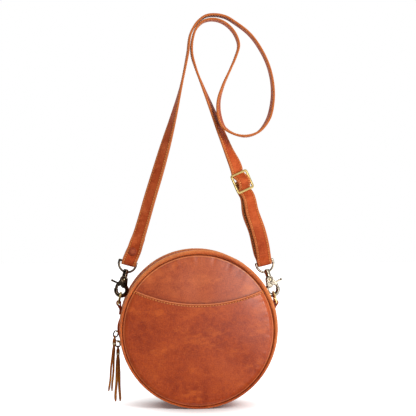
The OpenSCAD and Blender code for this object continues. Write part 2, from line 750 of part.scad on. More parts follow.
// Buckle: a frame with a middle bar, and the strap's end sewn round that bar
module in_buckle() {
    multmatrix([
        [leg_across[0], leg_along[0], leg_out[0], buckle_at[0]],
        [leg_across[1], leg_along[1], leg_out[1], buckle_at[1]],
        [leg_across[2], leg_along[2], leg_out[2], buckle_at[2]]
    ]) children();
}
module buckle() {
    half_w = buckle_w / 2 + bar_w / 2;
    color(bright_brass) in_buckle() {
        for (end = [-1, 0, 1]) translate([-half_w, end * rail_y, 0]) rotate([0, 90, 0])
            cylinder(h = 2 * half_w, d = bar_w, $fn = 32);
        for (side = [-1, 1]) {
            translate([side * half_w, -rail_y, 0]) rotate([-90, 0, 0])
                cylinder(h = 2 * rail_y, d = bar_w, $fn = 32);
            for (end = [-1, 1]) translate([side * half_w, end * rail_y, 0]) sphere(d = bar_w, $fn = 32);
        }
    }
}
module strap_end_loop() {
    color(leather) in_buckle() translate([-strap_w / 2, 0, 0]) rotate([90, 0, 90])
        rotate([0, 0, wrap_tail - 90 - wrap_turn])
        rotate_extrude(angle = wrap_turn) translate([wrap_in, 0]) square([end_t, strap_w]);
}

// Leather-covered cap on the left fold, on a post through both layers
module strap_cap() {
    cap_share = 0.42;
    cap_yaw = 84;
    cap_t = strap_t / 3;
    cap_tilt = fold_tilt_left + lap_lean * cap_share;
    up = fold_up(cap_tilt);
    width = width_hint(cap_yaw, cap_tilt);
    out = cross(width, up);
    at = eye_left + cap_share * lap_l * up;
    half = layer_off + strap_t / 2 + 4 * touch_gap;
    color(dark_leather) multmatrix([
        [width[0], up[0], out[0], at[0]],
        [width[1], up[1], out[1], at[1]],
        [width[2], up[2], out[2], at[2]]
    ]) {
        translate([0, 0, -half]) cylinder(h = 2 * half, d = cap_d / 4);
        translate([0, 0, half]) cylinder(h = cap_t, d = cap_d);
        translate([0, 0, -half - cap_t]) cylinder(h = cap_t, d = cap_d * 0.8);
    }
}

front_panel();
front_pocket();
front_roll();
front_lining();
back_panel();
back_roll();
back_lining();
gusset_lower();
gusset_strip_front();
gusset_strip_back();
gusset_lining();
zip_tape_front();
zip_tape_back();
zip_teeth_front();
zip_teeth_back();
slider_upper();
slider_lower();
pull_ring_upper();
pull_ring_lower();
tassel_upper();
tassel_lower();
tassel_rivet_upper();
tassel_rivet_lower();
tab_left();
tab_right();
d_ring_left();
d_ring_right();
swivel_eye_left();
swivel_eye_right();
hook_left();
hook_right();
trigger_left();
trigger_right();
trigger_pin_left();
trigger_pin_right();
strap_main();
strap_above_buckle();
strap_in_buckle();
strap_lower_front();
strap_fold_right();
strap_lower_back();
strap_end_loop();
strap_cap();
buckle();
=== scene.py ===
"""Looks of a round leather crossbody bag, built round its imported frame. Sizes in here are millimetres."""

import json
import math

import bmesh
import bpy
import numpy as np
from mathutils import Matrix, Vector


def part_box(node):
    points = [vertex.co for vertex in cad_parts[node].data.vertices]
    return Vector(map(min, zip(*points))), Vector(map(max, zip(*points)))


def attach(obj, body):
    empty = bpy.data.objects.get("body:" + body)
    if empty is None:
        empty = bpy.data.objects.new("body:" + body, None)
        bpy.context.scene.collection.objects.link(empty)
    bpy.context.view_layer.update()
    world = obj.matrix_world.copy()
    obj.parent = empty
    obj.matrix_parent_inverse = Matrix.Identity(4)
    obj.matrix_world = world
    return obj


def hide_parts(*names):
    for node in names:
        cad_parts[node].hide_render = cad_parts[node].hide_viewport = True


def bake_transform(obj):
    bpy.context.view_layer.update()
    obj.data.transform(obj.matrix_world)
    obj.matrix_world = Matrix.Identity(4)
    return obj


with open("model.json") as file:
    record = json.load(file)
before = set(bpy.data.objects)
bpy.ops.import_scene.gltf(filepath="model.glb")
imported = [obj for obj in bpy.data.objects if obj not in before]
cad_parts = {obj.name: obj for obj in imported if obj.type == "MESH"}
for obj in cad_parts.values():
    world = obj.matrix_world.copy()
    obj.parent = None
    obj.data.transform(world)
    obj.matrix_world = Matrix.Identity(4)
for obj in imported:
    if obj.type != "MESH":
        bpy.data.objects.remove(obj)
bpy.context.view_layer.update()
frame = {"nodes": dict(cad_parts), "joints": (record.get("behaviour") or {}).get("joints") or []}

bl_info = {
    "name": "Round Crossbody Bag",
    "version": (1, 0, 0),
    "blender": (4, 5, 0),
    "location": "View3D > Sidebar > Round Bag",
    "description": "Models and finishes a round leather crossbody bag on its frame",
    "category": "Object",
}

MM = 0.001


def joint(name):
    return next(j for j in frame["joints"] if j["name"] == name)


def joint_place(name):
    return np.array(joint(name)["pos_m"], float) / MM


def node_box(name):
    low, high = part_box(name)
    return np.array(low) / MM, np.array(high) / MM


BAG = joint_place("slider_lower_run")
EYES = {-1: joint_place("hook_left_swivel"), 1: joint_place("hook_right_swivel")}
RING_BARS = {-1: joint_place("d_ring_left_tilt"), 1: joint_place("d_ring_right_tilt")}
PULLS = {"upper": joint_place("pull_upper_flip"), "lower": joint_place("pull_lower_flip")}
LEG_ALONG = np.array(joint("buckle_slide")["axis"], float)
ROLL_LOW, ROLL_HIGH = node_box("front_roll")
BAG_R = (ROLL_HIGH[0] - ROLL_LOW[0]) / 2
ROLL_D = ROLL_HIGH[1] - ROLL_LOW[1]
ROLL_Y = -(ROLL_HIGH[1] + ROLL_LOW[1]) / 2
PANEL_LOW, PANEL_HIGH = node_box("front_panel")
PANEL_FACE = -PANEL_LOW[1]
LEATHER_T = PANEL_HIGH[1] - PANEL_LOW[1]
GUSSET_LOW, GUSSET_HIGH = node_box("gusset_lower")
GUSSET_R = BAG[2] - GUSSET_LOW[2]
GUSSET_Y = GUSSET_HIGH[1]
STRIP_FRONT_HIGH = node_box("gusset_strip_front")[1][1]
STRIP_BACK_LOW = node_box("gusset_strip_back")[0][1]
TAPE_LOW, TAPE_HIGH = node_box("zip_tape_front")
ZIP_Y = TAPE_HIGH[1]
TAPE_W = TAPE_HIGH[1] - TAPE_LOW[1]
TAPE_R = TAPE_HIGH[2] - BAG[2]
TEETH_R = node_box("zip_teeth_front")[1][2] - BAG[2]
TEETH_W = 2 * (ZIP_Y - node_box("zip_teeth_front")[0][1])
BUCKLE_LOW, BUCKLE_HIGH = node_box("buckle")
BUCKLE_AT = (BUCKLE_LOW + BUCKLE_HIGH) / 2

# Sizes that the frame's boxes don't give, first of the panels and pocket. The seam circle lies a little
# low and left on the bag's face.
RIM_R = 96.0
RIM_X = -0.5
RIM_Z = -1.8
RIM_LIFT = 0.5
MOUTH_R = 195.0
MOUTH_RISE = 31.5
MOUTH_Z = MOUTH_RISE + MOUTH_R
MOUTH_STITCH_IN = 2.3
POCKET_T = 1.5

# Gusset and zip, with angles round the bag in degrees
SEAM_DROP = 14.8
LOWER_PART = (180 + SEAM_DROP, 360 - SEAM_DROP)
UPPER_PART = (-SEAM_DROP, 180 + SEAM_DROP)
HOOK_TURN = 64.0
HOOK_HOLLOW = 0.8
BELLY_AT = 181.0
BELLY_RISE = 4.2
ZIP_STITCH_IN = 2.6
TAPE_T = 0.8
TAPE_END_GAP = 0.3
UPPER_AT = 182.0
LOWER_AT = 189.2
SLIDER_L = 10.5
SLIDER_T = 1.6
BAIL_D = 1.6

# Pulls
RING_H = 9.0
RING_W = 5.6
RING_WIRE = 1.0
PULL_WIRE = 1.7
PULL_FLAT = 1.35
PULL_LEANS = {"upper": 20.0, "lower": -6.0}
TASSEL_HANGS = {"upper": 4.4, "lower": 0.3}
TASSEL_SPREADS = {"upper": 1.0, "lower": 1.7}
TASSEL_BENDS = {"upper": (0.5, 1.7), "lower": (-0.45, 0.6)}
STRAND_SHARES = {"upper": 0.58, "lower": 0.74}
TASSEL_L = 69.0
RIVET_DROP = TASSEL_L * 0.13
LACE_W = 4.6
LACE_T = 1.2

# Side loops, D rings and hooks
DRING_W = 16.0
DRING_LEG = 4.0
DRING_WIRE = 2.8
DRING_TILT = 12.0
TAB_W = 14.0
TAB_T = 1.9
TAB_STITCH_IN = 1.9
PIN_HEAD_T = 0.5

# Strap and buckle
STRAP_W = 18.6
STRAP_T = 3.2
LOOP_T = 2.6
STITCH_IN = 2.5
LAP_L = 34.0
CAP_D = 10.5
END_T = 1.8
BUCKLE_W = 22.4
BUCKLE_H = 26.0
BUCKLE_CORNER = 2.2
BUCKLE_FLAT = 1.3
BAR_W = 2.6
EYE_WIRE = 2.4
SEAT_GAP = 0.3
TOUCH_GAP = 0.1


# Colours are written as they look on a screen and turned into the renderer's own scale
def shade(red, green, blue):
    def one(value):
        value /= 255
        return value / 12.92 if value <= 0.04045 else ((value + 0.055) / 1.055) ** 2.4

    return (one(red), one(green), one(blue), 1.0)


def colour_property(name, description, default):
    return bpy.props.FloatVectorProperty(
        name=name, description=description, default=default, size=4, subtype="COLOR", min=0, max=1,
    )


def length_property(name, description, default, low, high):
    return bpy.props.FloatProperty(
        name=name, description=description, default=default * MM, min=low * MM, max=high * MM,
        subtype="DISTANCE", unit="LENGTH", precision=5,
    )


class BagSizes(bpy.types.PropertyGroup):
    """Sizes that change the look and leave the frame as it is"""

    crown: length_property("Crown", "Rise of each panel's middle over its rim", 2.0, 0, 4)
    groove: length_property("Groove", "Depth of the seam beside the rolled edge", 1.2, 0, 1.6)
    pocket_gape: length_property("Pocket gape", "How far the pocket's mouth stands off the panel", 0.7, 0, 2)
    stitch_pitch: length_property("Stitch pitch", "Distance from stitch to stitch", 3.6, 2, 6)
    stitch_length: length_property("Stitch length", "Visible length of one stitch", 2.9, 1, 4)
    stitch_width: length_property("Stitch width", "Thickness of the thread", 0.85, 0.3, 1.2)
    tooth_pitch: length_property("Tooth pitch", "Distance from tooth to tooth in one row", 2.5, 1.5, 4)


class BagColours(bpy.types.PropertyGroup):
    """Colours of the leathers, cloths, threads and metals"""

    panel: colour_property("Panels", "Leather of the panels and gusset", shade(182, 76, 26))
    pocket: colour_property("Pocket", "Leather of the slip pocket", shade(178, 68, 14))
    edge: colour_property("Rolled edges", "Leather of the rolled edges", shade(197, 91, 36))
    strap: colour_property("Strap", "Leather of the strap", shade(186, 79, 36))
    strap_edge: colour_property("Strap edges", "Cut edges of the strap", shade(192, 106, 52))
    lace: colour_property("Laces", "Leather of the pull laces", shade(150, 82, 22))
    thread: colour_property("Thread", "Light thread of the stitch rows", shade(226, 148, 72))
    dark_thread: colour_property("Seam thread", "Dark thread in the rim's seam", shade(112, 52, 30))
    tape: colour_property("Zip tape", "Cloth of the zip's tapes", shade(112, 68, 42))
    lining: colour_property("Lining", "Cloth of the lining", shade(186, 160, 124))
    pale_brass: colour_property("Pale brass", "Trigger pins and tassel rivets", shade(226, 206, 160))
    buckle_brass: colour_property("Buckle brass", "Sliding buckle of the strap", shade(206, 180, 116))
    zip_brass: colour_property("Zip brass", "Teeth and sliders of the zip", shade(206, 164, 98))
    dark_brass: colour_property("Dark brass", "Hooks, eyes and pull rings", shade(204, 198, 180))
    ring_brass: colour_property("Ring brass", "D rings of the side loops", shade(242, 212, 144))


def sizes():
    return bpy.context.scene.bag_sizes


def colours():
    return bpy.context.scene.bag_colours


# Small sums that the shapes share
def smooth(low, high, value):
    t = np.clip((value - low) / (high - low), 0, 1)
    return t * t * (3 - 2 * t)


def near(value, middle, width):
    """1 where value is at middle, and soon nothing beyond width on both sides."""
    return np.exp(-(((value - middle) / width) ** 2))


def unit(vector):
    vector = np.asarray(vector, float)
    return vector / np.linalg.norm(vector, axis=-1, keepdims=True)


def cosd(angle):
    return np.cos(np.radians(angle))


def sind(angle):
    return np.sin(np.radians(angle))


def ripple(angle, waves):
    """An even, gentle unevenness round the bag. waves are (count, phase, height) triples."""
    return sum(height * np.sin(count * angle + phase) for count, phase, height in waves)


EDGE_WAVES = [(31, 0.4, 0.35), (53, 1.9, 0.3), (79, 4.1, 0.25), (113, 2.2, 0.18)]
SLOW_WAVES = [(3, 0.7, 0.5), (5, 2.6, 0.3), (8, 4.4, 0.2)]
ROLL_CREASES = [(140, 0.3, 0.5), (190, 2.0, 0.4)]


# Meshes. Points come in millimetres; each piece ends as one closed mesh with its place in it.
def make_object(name, points, faces, marks, sharp):
    mesh = bpy.data.meshes.new(name)
    mesh.from_pydata((np.asarray(points, float) * MM).tolist(), [], faces)
    for key, values in marks.items():
        layer = mesh.attributes.new(key, "FLOAT", "POINT")
        layer.data.foreach_set("value", np.asarray(values, np.float32))
    obj = bpy.data.objects.new(name, mesh)
    bpy.context.scene.collection.objects.link(obj)
    tidy_mesh(mesh, sharp)
    return obj


def tidy_mesh(mesh, sharp, merge=0.0):
    work = bmesh.new()
    work.from_mesh(mesh)
    if merge:
        bmesh.ops.remove_doubles(work, verts=work.verts, dist=merge)
    bmesh.ops.recalc_face_normals(work, faces=work.faces)
    work.to_mesh(mesh)
    work.free()
    mesh.shade_smooth()
    mesh.set_sharp_from_angle(angle=math.radians(sharp))


def loft_faces(rings, sides, loop):
    faces = []
    for i in range(rings if loop else rings - 1):
        here = i * sides
        ahead = (i + 1) % rings * sides
        for j in range(sides):
            k = (j + 1) % sides
            faces.append((here + j, here + k, ahead + k, ahead + j))
    if not loop:
        last = (rings - 1) * sides
        faces.append(tuple(range(sides)))
        faces.append(tuple(last + j for j in reversed(range(sides))))
    return faces


def loft(name, rings, loop=False, marks=None, sharp=40.0):
    """A closed skin over rings of points, an array of ring, side and place."""
    rings = np.asarray(rings, float)
    count, sides = rings.shape[:2]
    flat = {key: np.asarray(values, float).reshape(-1) for key, values in (marks or {}).items()}
    return make_object(name, rings.reshape(-1, 3), loft_faces(count, sides, loop), flat, sharp)


def sweep(points, across, out, section):
    """Rings of a section, given as side and place (across, out), carried along points."""
    section = np.asarray(section, float)
    if section.ndim == 2:
        section = np.repeat(section[None], len(points), 0)
    return (
        points[:, None, :]
        + section[:, :, 0:1] * np.asarray(across, float)[:, None, :]
        + section[:, :, 1:2] * np.asarray(out, float)[:, None, :]
    )


def tangents(points, loop=False):
    if loop:
        return unit(np.roll(points, -1, 0) - np.roll(points, 1, 0))
    return unit(np.gradient(points, axis=0))


def round_section(radius, sides, flat):
    """A wire's section. flat makes it wider in the plane of its path."""
    turn = np.linspace(0, 2 * np.pi, sides, endpoint=False)
    return np.stack([radius * np.cos(turn), radius * flat * np.sin(turn)], 1)


def strip_section(width, thick, across, edge, corner=0.45):
    """A flat strip's section with rounded edges, and its edge mask. Grain side out.

    across and edge count the points of a face and of a rounded corner.
    """
    half_w = width / 2
    half_t = thick / 2
    r = min(corner * thick, half_t * 0.98)
    flat = np.linspace(-half_w + r, half_w - r, across)
    points = [(x, half_t) for x in flat]
    for middle, first in (((half_w - r, half_t - r), 90), ((half_w - r, r - half_t), 0)):
        for turn in np.linspace(first, first - 90, edge + 1)[1:]:
            points.append((middle[0] + r * cosd(turn), middle[1] + r * sind(turn)))
    points += [(x, -half_t) for x in flat[::-1][1:]]
    for middle, first in (((r - half_w, r - half_t), -90), ((r - half_w, half_t - r), 180)):
        for turn in np.linspace(first, first - 90, edge + 1)[1:]:
            points.append((middle[0] + r * cosd(turn), middle[1] + r * sind(turn)))
    points = np.array(points[:-1])
    mask = smooth(half_w - 1.15 * r, half_w - 0.4 * r, np.abs(points[:, 0]))
    return points, mask


def wire(path, normal, radius, loop=False, sides=14, flat=1.0):
    """Rings of a round wire along a path that lies in one plane."""
    path = np.asarray(path, float)
    normal = np.repeat(unit(normal)[None], len(path), 0)
    side = unit(np.cross(tangents(path, loop), normal))
    return sweep(path, normal, side, round_section(radius, sides, flat))


def rounded_path(corners, radii, loop=True, steps=7):
    """A path through corners, each rounded to its radius."""
    corners = [np.asarray(c, float) for c in corners]
    count = len(corners)
    points = []
    for i, (corner, radius) in enumerate(zip(corners, radii)):
        if radius <= 0 or (not loop and i in (0, count - 1)):
            points.append(corner)
            continue
        back = unit(corners[i - 1] - corner)
        ahead = unit(corners[(i + 1) % count] - corner)
        half = np.arccos(np.clip(back @ ahead, -1, 1)) / 2
        reach = radius / np.tan(half)
        centre = corner + unit(back + ahead) * radius / np.sin(half)
        first = corner + back * reach - centre
        last = corner + ahead * reach - centre
        for s in np.linspace(0, 1, steps):
            points.append(centre + radius * unit(first * (1 - s) + last * s))
    return np.array(points)


def spaced(path, step, loop=True):
    """The same path with points at an even distance."""
    path = np.asarray(path, float)
    if loop:
        path = np.concatenate([path, path[:1]])
    lengths = np.concatenate([[0], np.cumsum(np.linalg.norm(np.diff(path, axis=0), axis=1))])
    count = max(4, int(round(lengths[-1] / step)))
    at = np.linspace(0, lengths[-1], count + 1)[: count if loop else count + 1]
    return np.stack([np.interp(at, lengths, path[:, k]) for k in range(3)], 1)


def lathe(profile, middle, axis, sides=32):
    """Rings of a turned piece. profile is (radius, height) pairs that start and end at no radius."""
    axis = unit(axis)
    first = unit(np.cross(axis, [0.31, 0.2, 0.93]))
    second = np.cross(axis, first)
    turn = np.linspace(0, 2 * np.pi, sides, endpoint=False)
    circle = np.cos(turn)[:, None] * first + np.sin(turn)[:, None] * second
    return np.array([middle + height * axis + max(radius, 0.02) * circle for radius, height in profile])


def ring_marks(values, rings):
    """One mark for each ring, repeated for its points."""
    return np.repeat(np.array(values, float)[:, None], rings.shape[1], 1)


def thickened(rings, path, girth):
    """Rings of a wire with its thickness changed along its path."""
    return path[:, None] + (rings - path[:, None]) * girth[:, None, None]


def slab(outline, bottom, top, bevel, frame_at):
    """Rings of a flat plate with rounded upper and lower edges. frame_at places (u, v, w)."""
    outline = np.asarray(outline, float)
    middle = outline.mean(0)
    reach = np.linalg.norm(outline - middle, axis=1).mean()
    rings = []
    for turn in np.linspace(-90, 90, 9):
        inset = 1 - bevel * (1 - cosd(turn)) / reach
        height = (bottom + bevel if turn < 0 else top - bevel) + bevel * sind(turn)
        shape = middle + (outline - middle) * inset
        rings.append([frame_at(u, v, height) for u, v in shape])
    return np.array(rings)


def join(objects, name):
    """One mesh out of several, each closed in itself."""
    work = bmesh.new()
    for obj in objects:
        work.from_mesh(obj.data)
    mesh = bpy.data.meshes.new(name)
    work.to_mesh(mesh)
    work.free()
    for obj in objects:
        bpy.data.objects.remove(obj)
    joined = bpy.data.objects.new(name, mesh)
    bpy.context.scene.collection.objects.link(joined)
    return joined


def cast(name, source, voxel, rounds, swell, extras=()):
    """A copy of a piece and its extras as if cast in one pour: fused, with softened edges.

    voxel is the finest detail kept, rounds the passes of smoothing, and swell the growth after them.
    """
    mesh = source.data.copy()
    pieces = [bpy.data.objects.new(name, mesh)]
    bpy.context.scene.collection.objects.link(pieces[0])
    tidy_mesh(mesh, 40, 1e-6)
    obj = join([*pieces, *extras], name)
    obj.data.transform(Matrix.Scale(1 / MM, 4))
    remesh = obj.modifiers.new("Fuse", "REMESH")
    remesh.mode = "VOXEL"
    remesh.voxel_size = voxel
    soften = obj.modifiers.new("Soften", "SMOOTH")
    soften.factor = 0.5
    soften.iterations = rounds
    fuller = obj.modifiers.new("Fuller", "DISPLACE")
    fuller.mid_level = 0.0
    fuller.strength = swell
    bake_modifiers(obj)
    obj.data.transform(Matrix.Scale(MM, 4))
    tidy_mesh(obj.data, 60)
    return obj


def set_tone(obj, values):
    """One tone for the whole piece, or one for each of its points."""
    layer = obj.data.attributes.new("tone", "FLOAT", "POINT")
    tones = np.broadcast_to(np.asarray(values, np.float32), len(obj.data.vertices))
    layer.data.foreach_set("value", np.ascontiguousarray(tones))


def bake_modifiers(obj):
    bpy.context.view_layer.update()
    graph = bpy.context.evaluated_depsgraph_get()
    mesh = bpy.data.meshes.new_from_object(obj.evaluated_get(graph))
    old = obj.data
    obj.modifiers.clear()
    obj.data = mesh
    bpy.data.meshes.remove(old)


def dress(obj, material, slot, body, *nodes):
    """Gives a piece its material and the body it rides on, and hides the frame's nodes it stands for. slot,
    the record's slot, is not used.
    """
    obj.data.materials.clear()
    obj.data.materials.append(material)
    if body:
        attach(obj, body)
    if nodes:
        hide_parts(*nodes)
    return obj


# Materials
def node(tree, kind, inputs=None, **settings):
    made = tree.nodes.new(kind)
    for key, value in settings.items():
        setattr(made, key, value)
    for key, value in (inputs or {}).items():
        if isinstance(value, bpy.types.NodeSocket):
            tree.links.new(value, made.inputs[key])
        else:
            made.inputs[key].default_value = value
    return made


def blank_material(name):
    found = bpy.data.materials.get(name)
    if found:
        return found, None, None
    material = bpy.data.materials.new(name)
    material.use_nodes = True
    tree = material.node_tree
    return material, tree, tree.nodes["Principled BSDF"]


def mix(tree, factor, first, second):
    made = node(tree, "ShaderNodeMix", {0: factor, 6: first, 7: second}, data_type="RGBA")
    return made.outputs[2]


def spread(tree, value, low, high, to_low=0.0, to_high=1.0):
    made = node(
        tree, "ShaderNodeMapRange",
        {"Value": value, "From Min": low, "From Max": high, "To Min": to_low, "To Max": to_high},
    )
    return made.outputs[0]


def sum_of(tree, way, first, second):
    return node(tree, "ShaderNodeMath", {0: first, 1: second}, operation=way).outputs[0]


def noise(tree, place, scale, detail=3.0, rough=0.55):
    made = node(
        tree, "ShaderNodeTexNoise",
        {"Vector": place, "Scale": scale, "Detail": detail, "Roughness": rough},
    )
    return made.outputs[0]


def object_place(tree):
    return node(tree, "ShaderNodeTexCoord").outputs["Object"]


def mark(tree, name):
    return node(tree, "ShaderNodeAttribute", attribute_name=name).outputs["Fac"]


def scaled(colour, amount):
    return tuple(min(1.0, c * amount) for c in colour[:3]) + (1.0,)


def toned(colour, red, green, blue):
    return (min(1.0, colour[0] * red), min(1.0, colour[1] * green), min(1.0, colour[2] * blue), 1.0)


def pebbles(tree, place, grain):
    """Rounded grains with sunk borders, 0 in the border and 1 on a grain."""
    warp = node(tree, "ShaderNodeTexNoise", {"Vector": place, "Scale": 320.0}).outputs["Color"]
    bent = node(
        tree, "ShaderNodeVectorMath", {0: warp, 1: (0.0011, 0.0011, 0.0011), 2: place},
        operation="MULTIPLY_ADD",
    ).outputs[0]
    cells = node(
        tree, "ShaderNodeTexVoronoi", {"Vector": bent, "Scale": grain}, feature="DISTANCE_TO_EDGE",
    ).outputs["Distance"]
    return node(
        tree, "ShaderNodeMapRange", {"Value": cells, "From Min": 0.0, "From Max": 0.22},
        interpolation_type="SMOOTHSTEP",
    ).outputs[0]


DEEP_CLOUD = 0.7
PALE_CLOUD = 1.18


def cloudy(tree, colour, clouds, mottle):
    """The colour in clouds, from a deeper and redder tone to a paler and yellower one."""
    soft = spread(tree, clouds, 0.34, 0.66, 0, 0.55)
    amount = sum_of(tree, "ADD", soft, spread(tree, mottle, 0.34, 0.66, 0, 0.45))
    ramp = node(tree, "ShaderNodeValToRGB", {"Fac": amount})
    stops = ramp.color_ramp.elements
    stops[0].position = 0.1
    stops[0].color = toned(colour, DEEP_CLOUD, DEEP_CLOUD**1.7, DEEP_CLOUD**2.2)
    stops[1].position = 0.9
    stops[1].color = toned(colour, PALE_CLOUD, PALE_CLOUD**1.9, PALE_CLOUD**2.6)
    stops.new(0.5).color = colour
    return ramp.outputs[0]


def rubbed(tree, place):
    """How much a place is rubbed, in slanting streaks."""
    slanted = node(
        tree, "ShaderNodeMapping",
        {"Vector": place, "Rotation": (0.0, 0.6, 0.0), "Scale": (1.0, 1.0, 1.7)},
    ).outputs[0]
    return spread(tree, noise(tree, slanted, 26.0, 7.0, 0.7), 0.52, 0.66, 0, 0.9)


WAX_ROUGHNESS = 0.31


def leather(name, colour, grain, gloss=(0.32, 0.44), relief=0.55, shine=0.3, edge=None, wax=0.0):
    """Pull-up leather: cloudy colour, light scuffs and pebbled grain.

    A piece's mark "tone" makes it paler towards 1 and darker towards -1, which pieces use for painted
    highlights and painted shade on folds, ridges, dips and seams as well as for tone of their own, and its
    mark "edge" shows the edge colour. gloss is the range of roughness, shine the leather's own reflection and
    wax its coat's.
    """
    material, tree, shader = blank_material(name)
    if tree is None:
        return material
    place = object_place(tree)
    clouds = noise(tree, place, 24.0)
    mottle = noise(tree, place, 130.0, 6.0, 0.65)
    fine = noise(tree, place, 1900.0, 2.0)
    grit = spread(tree, noise(tree, place, 620.0, 2.0), 0.35, 0.65, -0.22, 0.22)
    pebble = pebbles(tree, place, grain)
    tone = mark(tree, "tone")
    pale = (min(1.0, 1.6 * colour[0]), 3.4 * colour[1] + 0.06, 3.4 * colour[2] + 0.08, 1.0)
    layers = [
        (spread(tree, grit, 0, 0.22, 0, 0.3), toned(colour, 1.35, 1.7, 2.0)),
        (spread(tree, grit, 0, -0.22, 0, 0.3), toned(colour, 0.6, 0.45, 0.4)),
        (rubbed(tree, place), toned(colour, 1.4, 1.9, 2.4)),
        (spread(tree, pebble, 0, 1, 0.3, 0), toned(colour, 0.5, 0.36, 0.3)),
    ]
    if edge:
        layers.append((mark(tree, "edge"), edge))
    # Last the mark tone: painted highlights above 0 and painted shade below, beside the pieces' own tone
    layers += [
        (spread(tree, tone, 0, 1, 0, 0.85), pale),
        (spread(tree, tone, 0, -1, 0, 0.95), toned(colour, 0.2, 0.1, 0.08)),
    ]
    shown = cloudy(tree, colour, clouds, mottle)
    for amount, over in layers:
        shown = mix(tree, amount, shown, over)
    height = sum_of(tree, "ADD", sum_of(tree, "MULTIPLY", fine, 0.3), sum_of(tree, "MULTIPLY", mottle, 1.6))
    height = sum_of(tree, "ADD", sum_of(tree, "MULTIPLY", pebble, 0.7), height)
    bump = node(tree, "ShaderNodeBump", {"Strength": relief, "Distance": 0.00026, "Height": height})
    soft = node(
        tree, "ShaderNodeBump",
        {"Strength": 0.3, "Distance": 0.0016, "Height": clouds, "Normal": bump.outputs[0]},
    )
    dull = spread(tree, pebble, 0, 1, 0.12, 0)
    tree.links.new(shown, shader.inputs["Base Color"])
    rough = sum_of(tree, "ADD", spread(tree, mottle, 0.3, 0.7, *gloss), dull)
    tree.links.new(rough, shader.inputs["Roughness"])
    tree.links.new(soft.outputs[0], shader.inputs["Normal"])
    shader.inputs["Specular IOR Level"].default_value = shine
    shader.inputs["Coat Weight"].default_value = wax
    shader.inputs["Coat Roughness"].default_value = WAX_ROUGHNESS
    return material


def metal(name, colour, gloss, tarnish, relief=0.12, purity=1.0):
    """Worn plate: fine scratches, soft dents and darker tarnish in patches. purity below 1 dulls it."""
    material, tree, shader = blank_material(name)
    if tree is None:
        return material
    place = object_place(tree)
    patches = noise(tree, place, 190.0, 4.0, 0.6)
    specks = noise(tree, place, 1500.0)
    blot = spread(tree, patches, 0.42, 0.66)
    worn = mix(tree, sum_of(tree, "MULTIPLY", blot, tarnish), colour, scaled(colour, 0.36))
    # The mark tone darkens the plate towards dark brown; on the hooks, the left eye and the rivets it is
    # painted shade
    dark = spread(tree, mark(tree, "tone"), 0, -1, 0, 0.95)
    tone_darkened = mix(tree, dark, worn, toned(colour, 0.16, 0.085, 0.04))
    scratched = spread(tree, specks, 0.3, 0.7, -0.04, 0.06)
    rough = sum_of(tree, "ADD", spread(tree, blot, 0, 1, gloss, gloss + 0.16), scratched)
    bump = node(
        tree, "ShaderNodeBump",
        {"Strength": relief, "Distance": 0.0002, "Height": sum_of(tree, "ADD", patches, specks)},
    )
    tree.links.new(tone_darkened, shader.inputs["Base Color"])
    tree.links.new(rough, shader.inputs["Roughness"])
    tree.links.new(bump.outputs[0], shader.inputs["Normal"])
    shader.inputs["Metallic"].default_value = purity
    return material


def cloth(name, colour, pitch):
    """Woven cloth: two crossed sets of threads at a pitch in millimetres."""
    material, tree, shader = blank_material(name)
    if tree is None:
        return material
    place = object_place(tree)
    split = node(tree, "ShaderNodeSeparateXYZ", {0: place})
    turns = 2 * math.pi / (pitch * MM)
    waves = []
    for key in ("X", "Y"):
        total = sum_of(tree, "ADD", split.outputs[key], split.outputs["Z"])
        turned = sum_of(tree, "MULTIPLY", total, turns)
        waves.append(node(tree, "ShaderNodeMath", {0: turned}, operation="SINE").outputs[0])
    weave = sum_of(tree, "MULTIPLY", *waves)
    fuzz = noise(tree, place, 900.0, 4.0)
    woven = mix(tree, spread(tree, weave, -1, 1, 0.35, 0), colour, scaled(colour, 0.4))
    mottled = mix(tree, spread(tree, fuzz, 0.3, 0.7, 0.3, 0), woven, scaled(colour, 0.6))
    bump = node(
        tree, "ShaderNodeBump",
        {"Strength": 0.6, "Distance": 0.0002, "Height": sum_of(tree, "ADD", weave, fuzz)},
    )
    tree.links.new(mottled, shader.inputs["Base Color"])
    tree.links.new(bump.outputs[0], shader.inputs["Normal"])
    shader.inputs["Roughness"].default_value = 0.85
    shader.inputs["Sheen Weight"].default_value = 0.15
    return material


def thread(name, colour):
    """Waxed thread with a fine twist."""
    material, tree, shader = blank_material(name)
    if tree is None:
        return material
    place = object_place(tree)
    fuzz = noise(tree, place, 1300.0, 3.0)
    tinted = mix(tree, spread(tree, fuzz, 0.3, 0.7, 0.35, 0), colour, scaled(colour, 0.6))
    bump = node(tree, "ShaderNodeBump", {"Strength": 0.4, "Distance": 0.0001, "Height": fuzz})
    tree.links.new(tinted, shader.inputs["Base Color"])
    tree.links.new(bump.outputs[0], shader.inputs["Normal"])
    shader.inputs["Roughness"].default_value = 0.6
    return material


def panel_leather():
    return leather("Panel leather", tuple(colours().panel), grain=820.0, shine=0.1, wax=0.8)


def pocket_leather():
    return leather("Pocket leather", tuple(colours().pocket), grain=820.0, shine=0.1, wax=0.72)


def edge_leather():
    return leather("Rolled edge leather", tuple(colours().edge), grain=1000.0, gloss=(0.34, 0.48))


def gusset_leather():
    return leather("Gusset leather", tuple(colours().panel), grain=900.0, gloss=(0.5, 0.6), shine=0.08)


def strap_leather():
    return leather(
        "Strap leather", tuple(colours().strap), grain=1100.0, gloss=(0.4, 0.54), relief=0.4, shine=0.1,
        edge=tuple(colours().strap_edge),
    )


def tab_leather():
    burnished = toned(tuple(colours().panel), 0.7, 0.55, 0.5)
    return leather("Side loop leather", tuple(colours().panel), grain=1000.0, edge=burnished)


def lace_leather():
    return leather("Lace leather", tuple(colours().lace), grain=1300.0, gloss=(0.45, 0.6), shine=0.1)


def cap_leather():
    return leather("Cap leather", tuple(colours().strap), grain=1100.0)


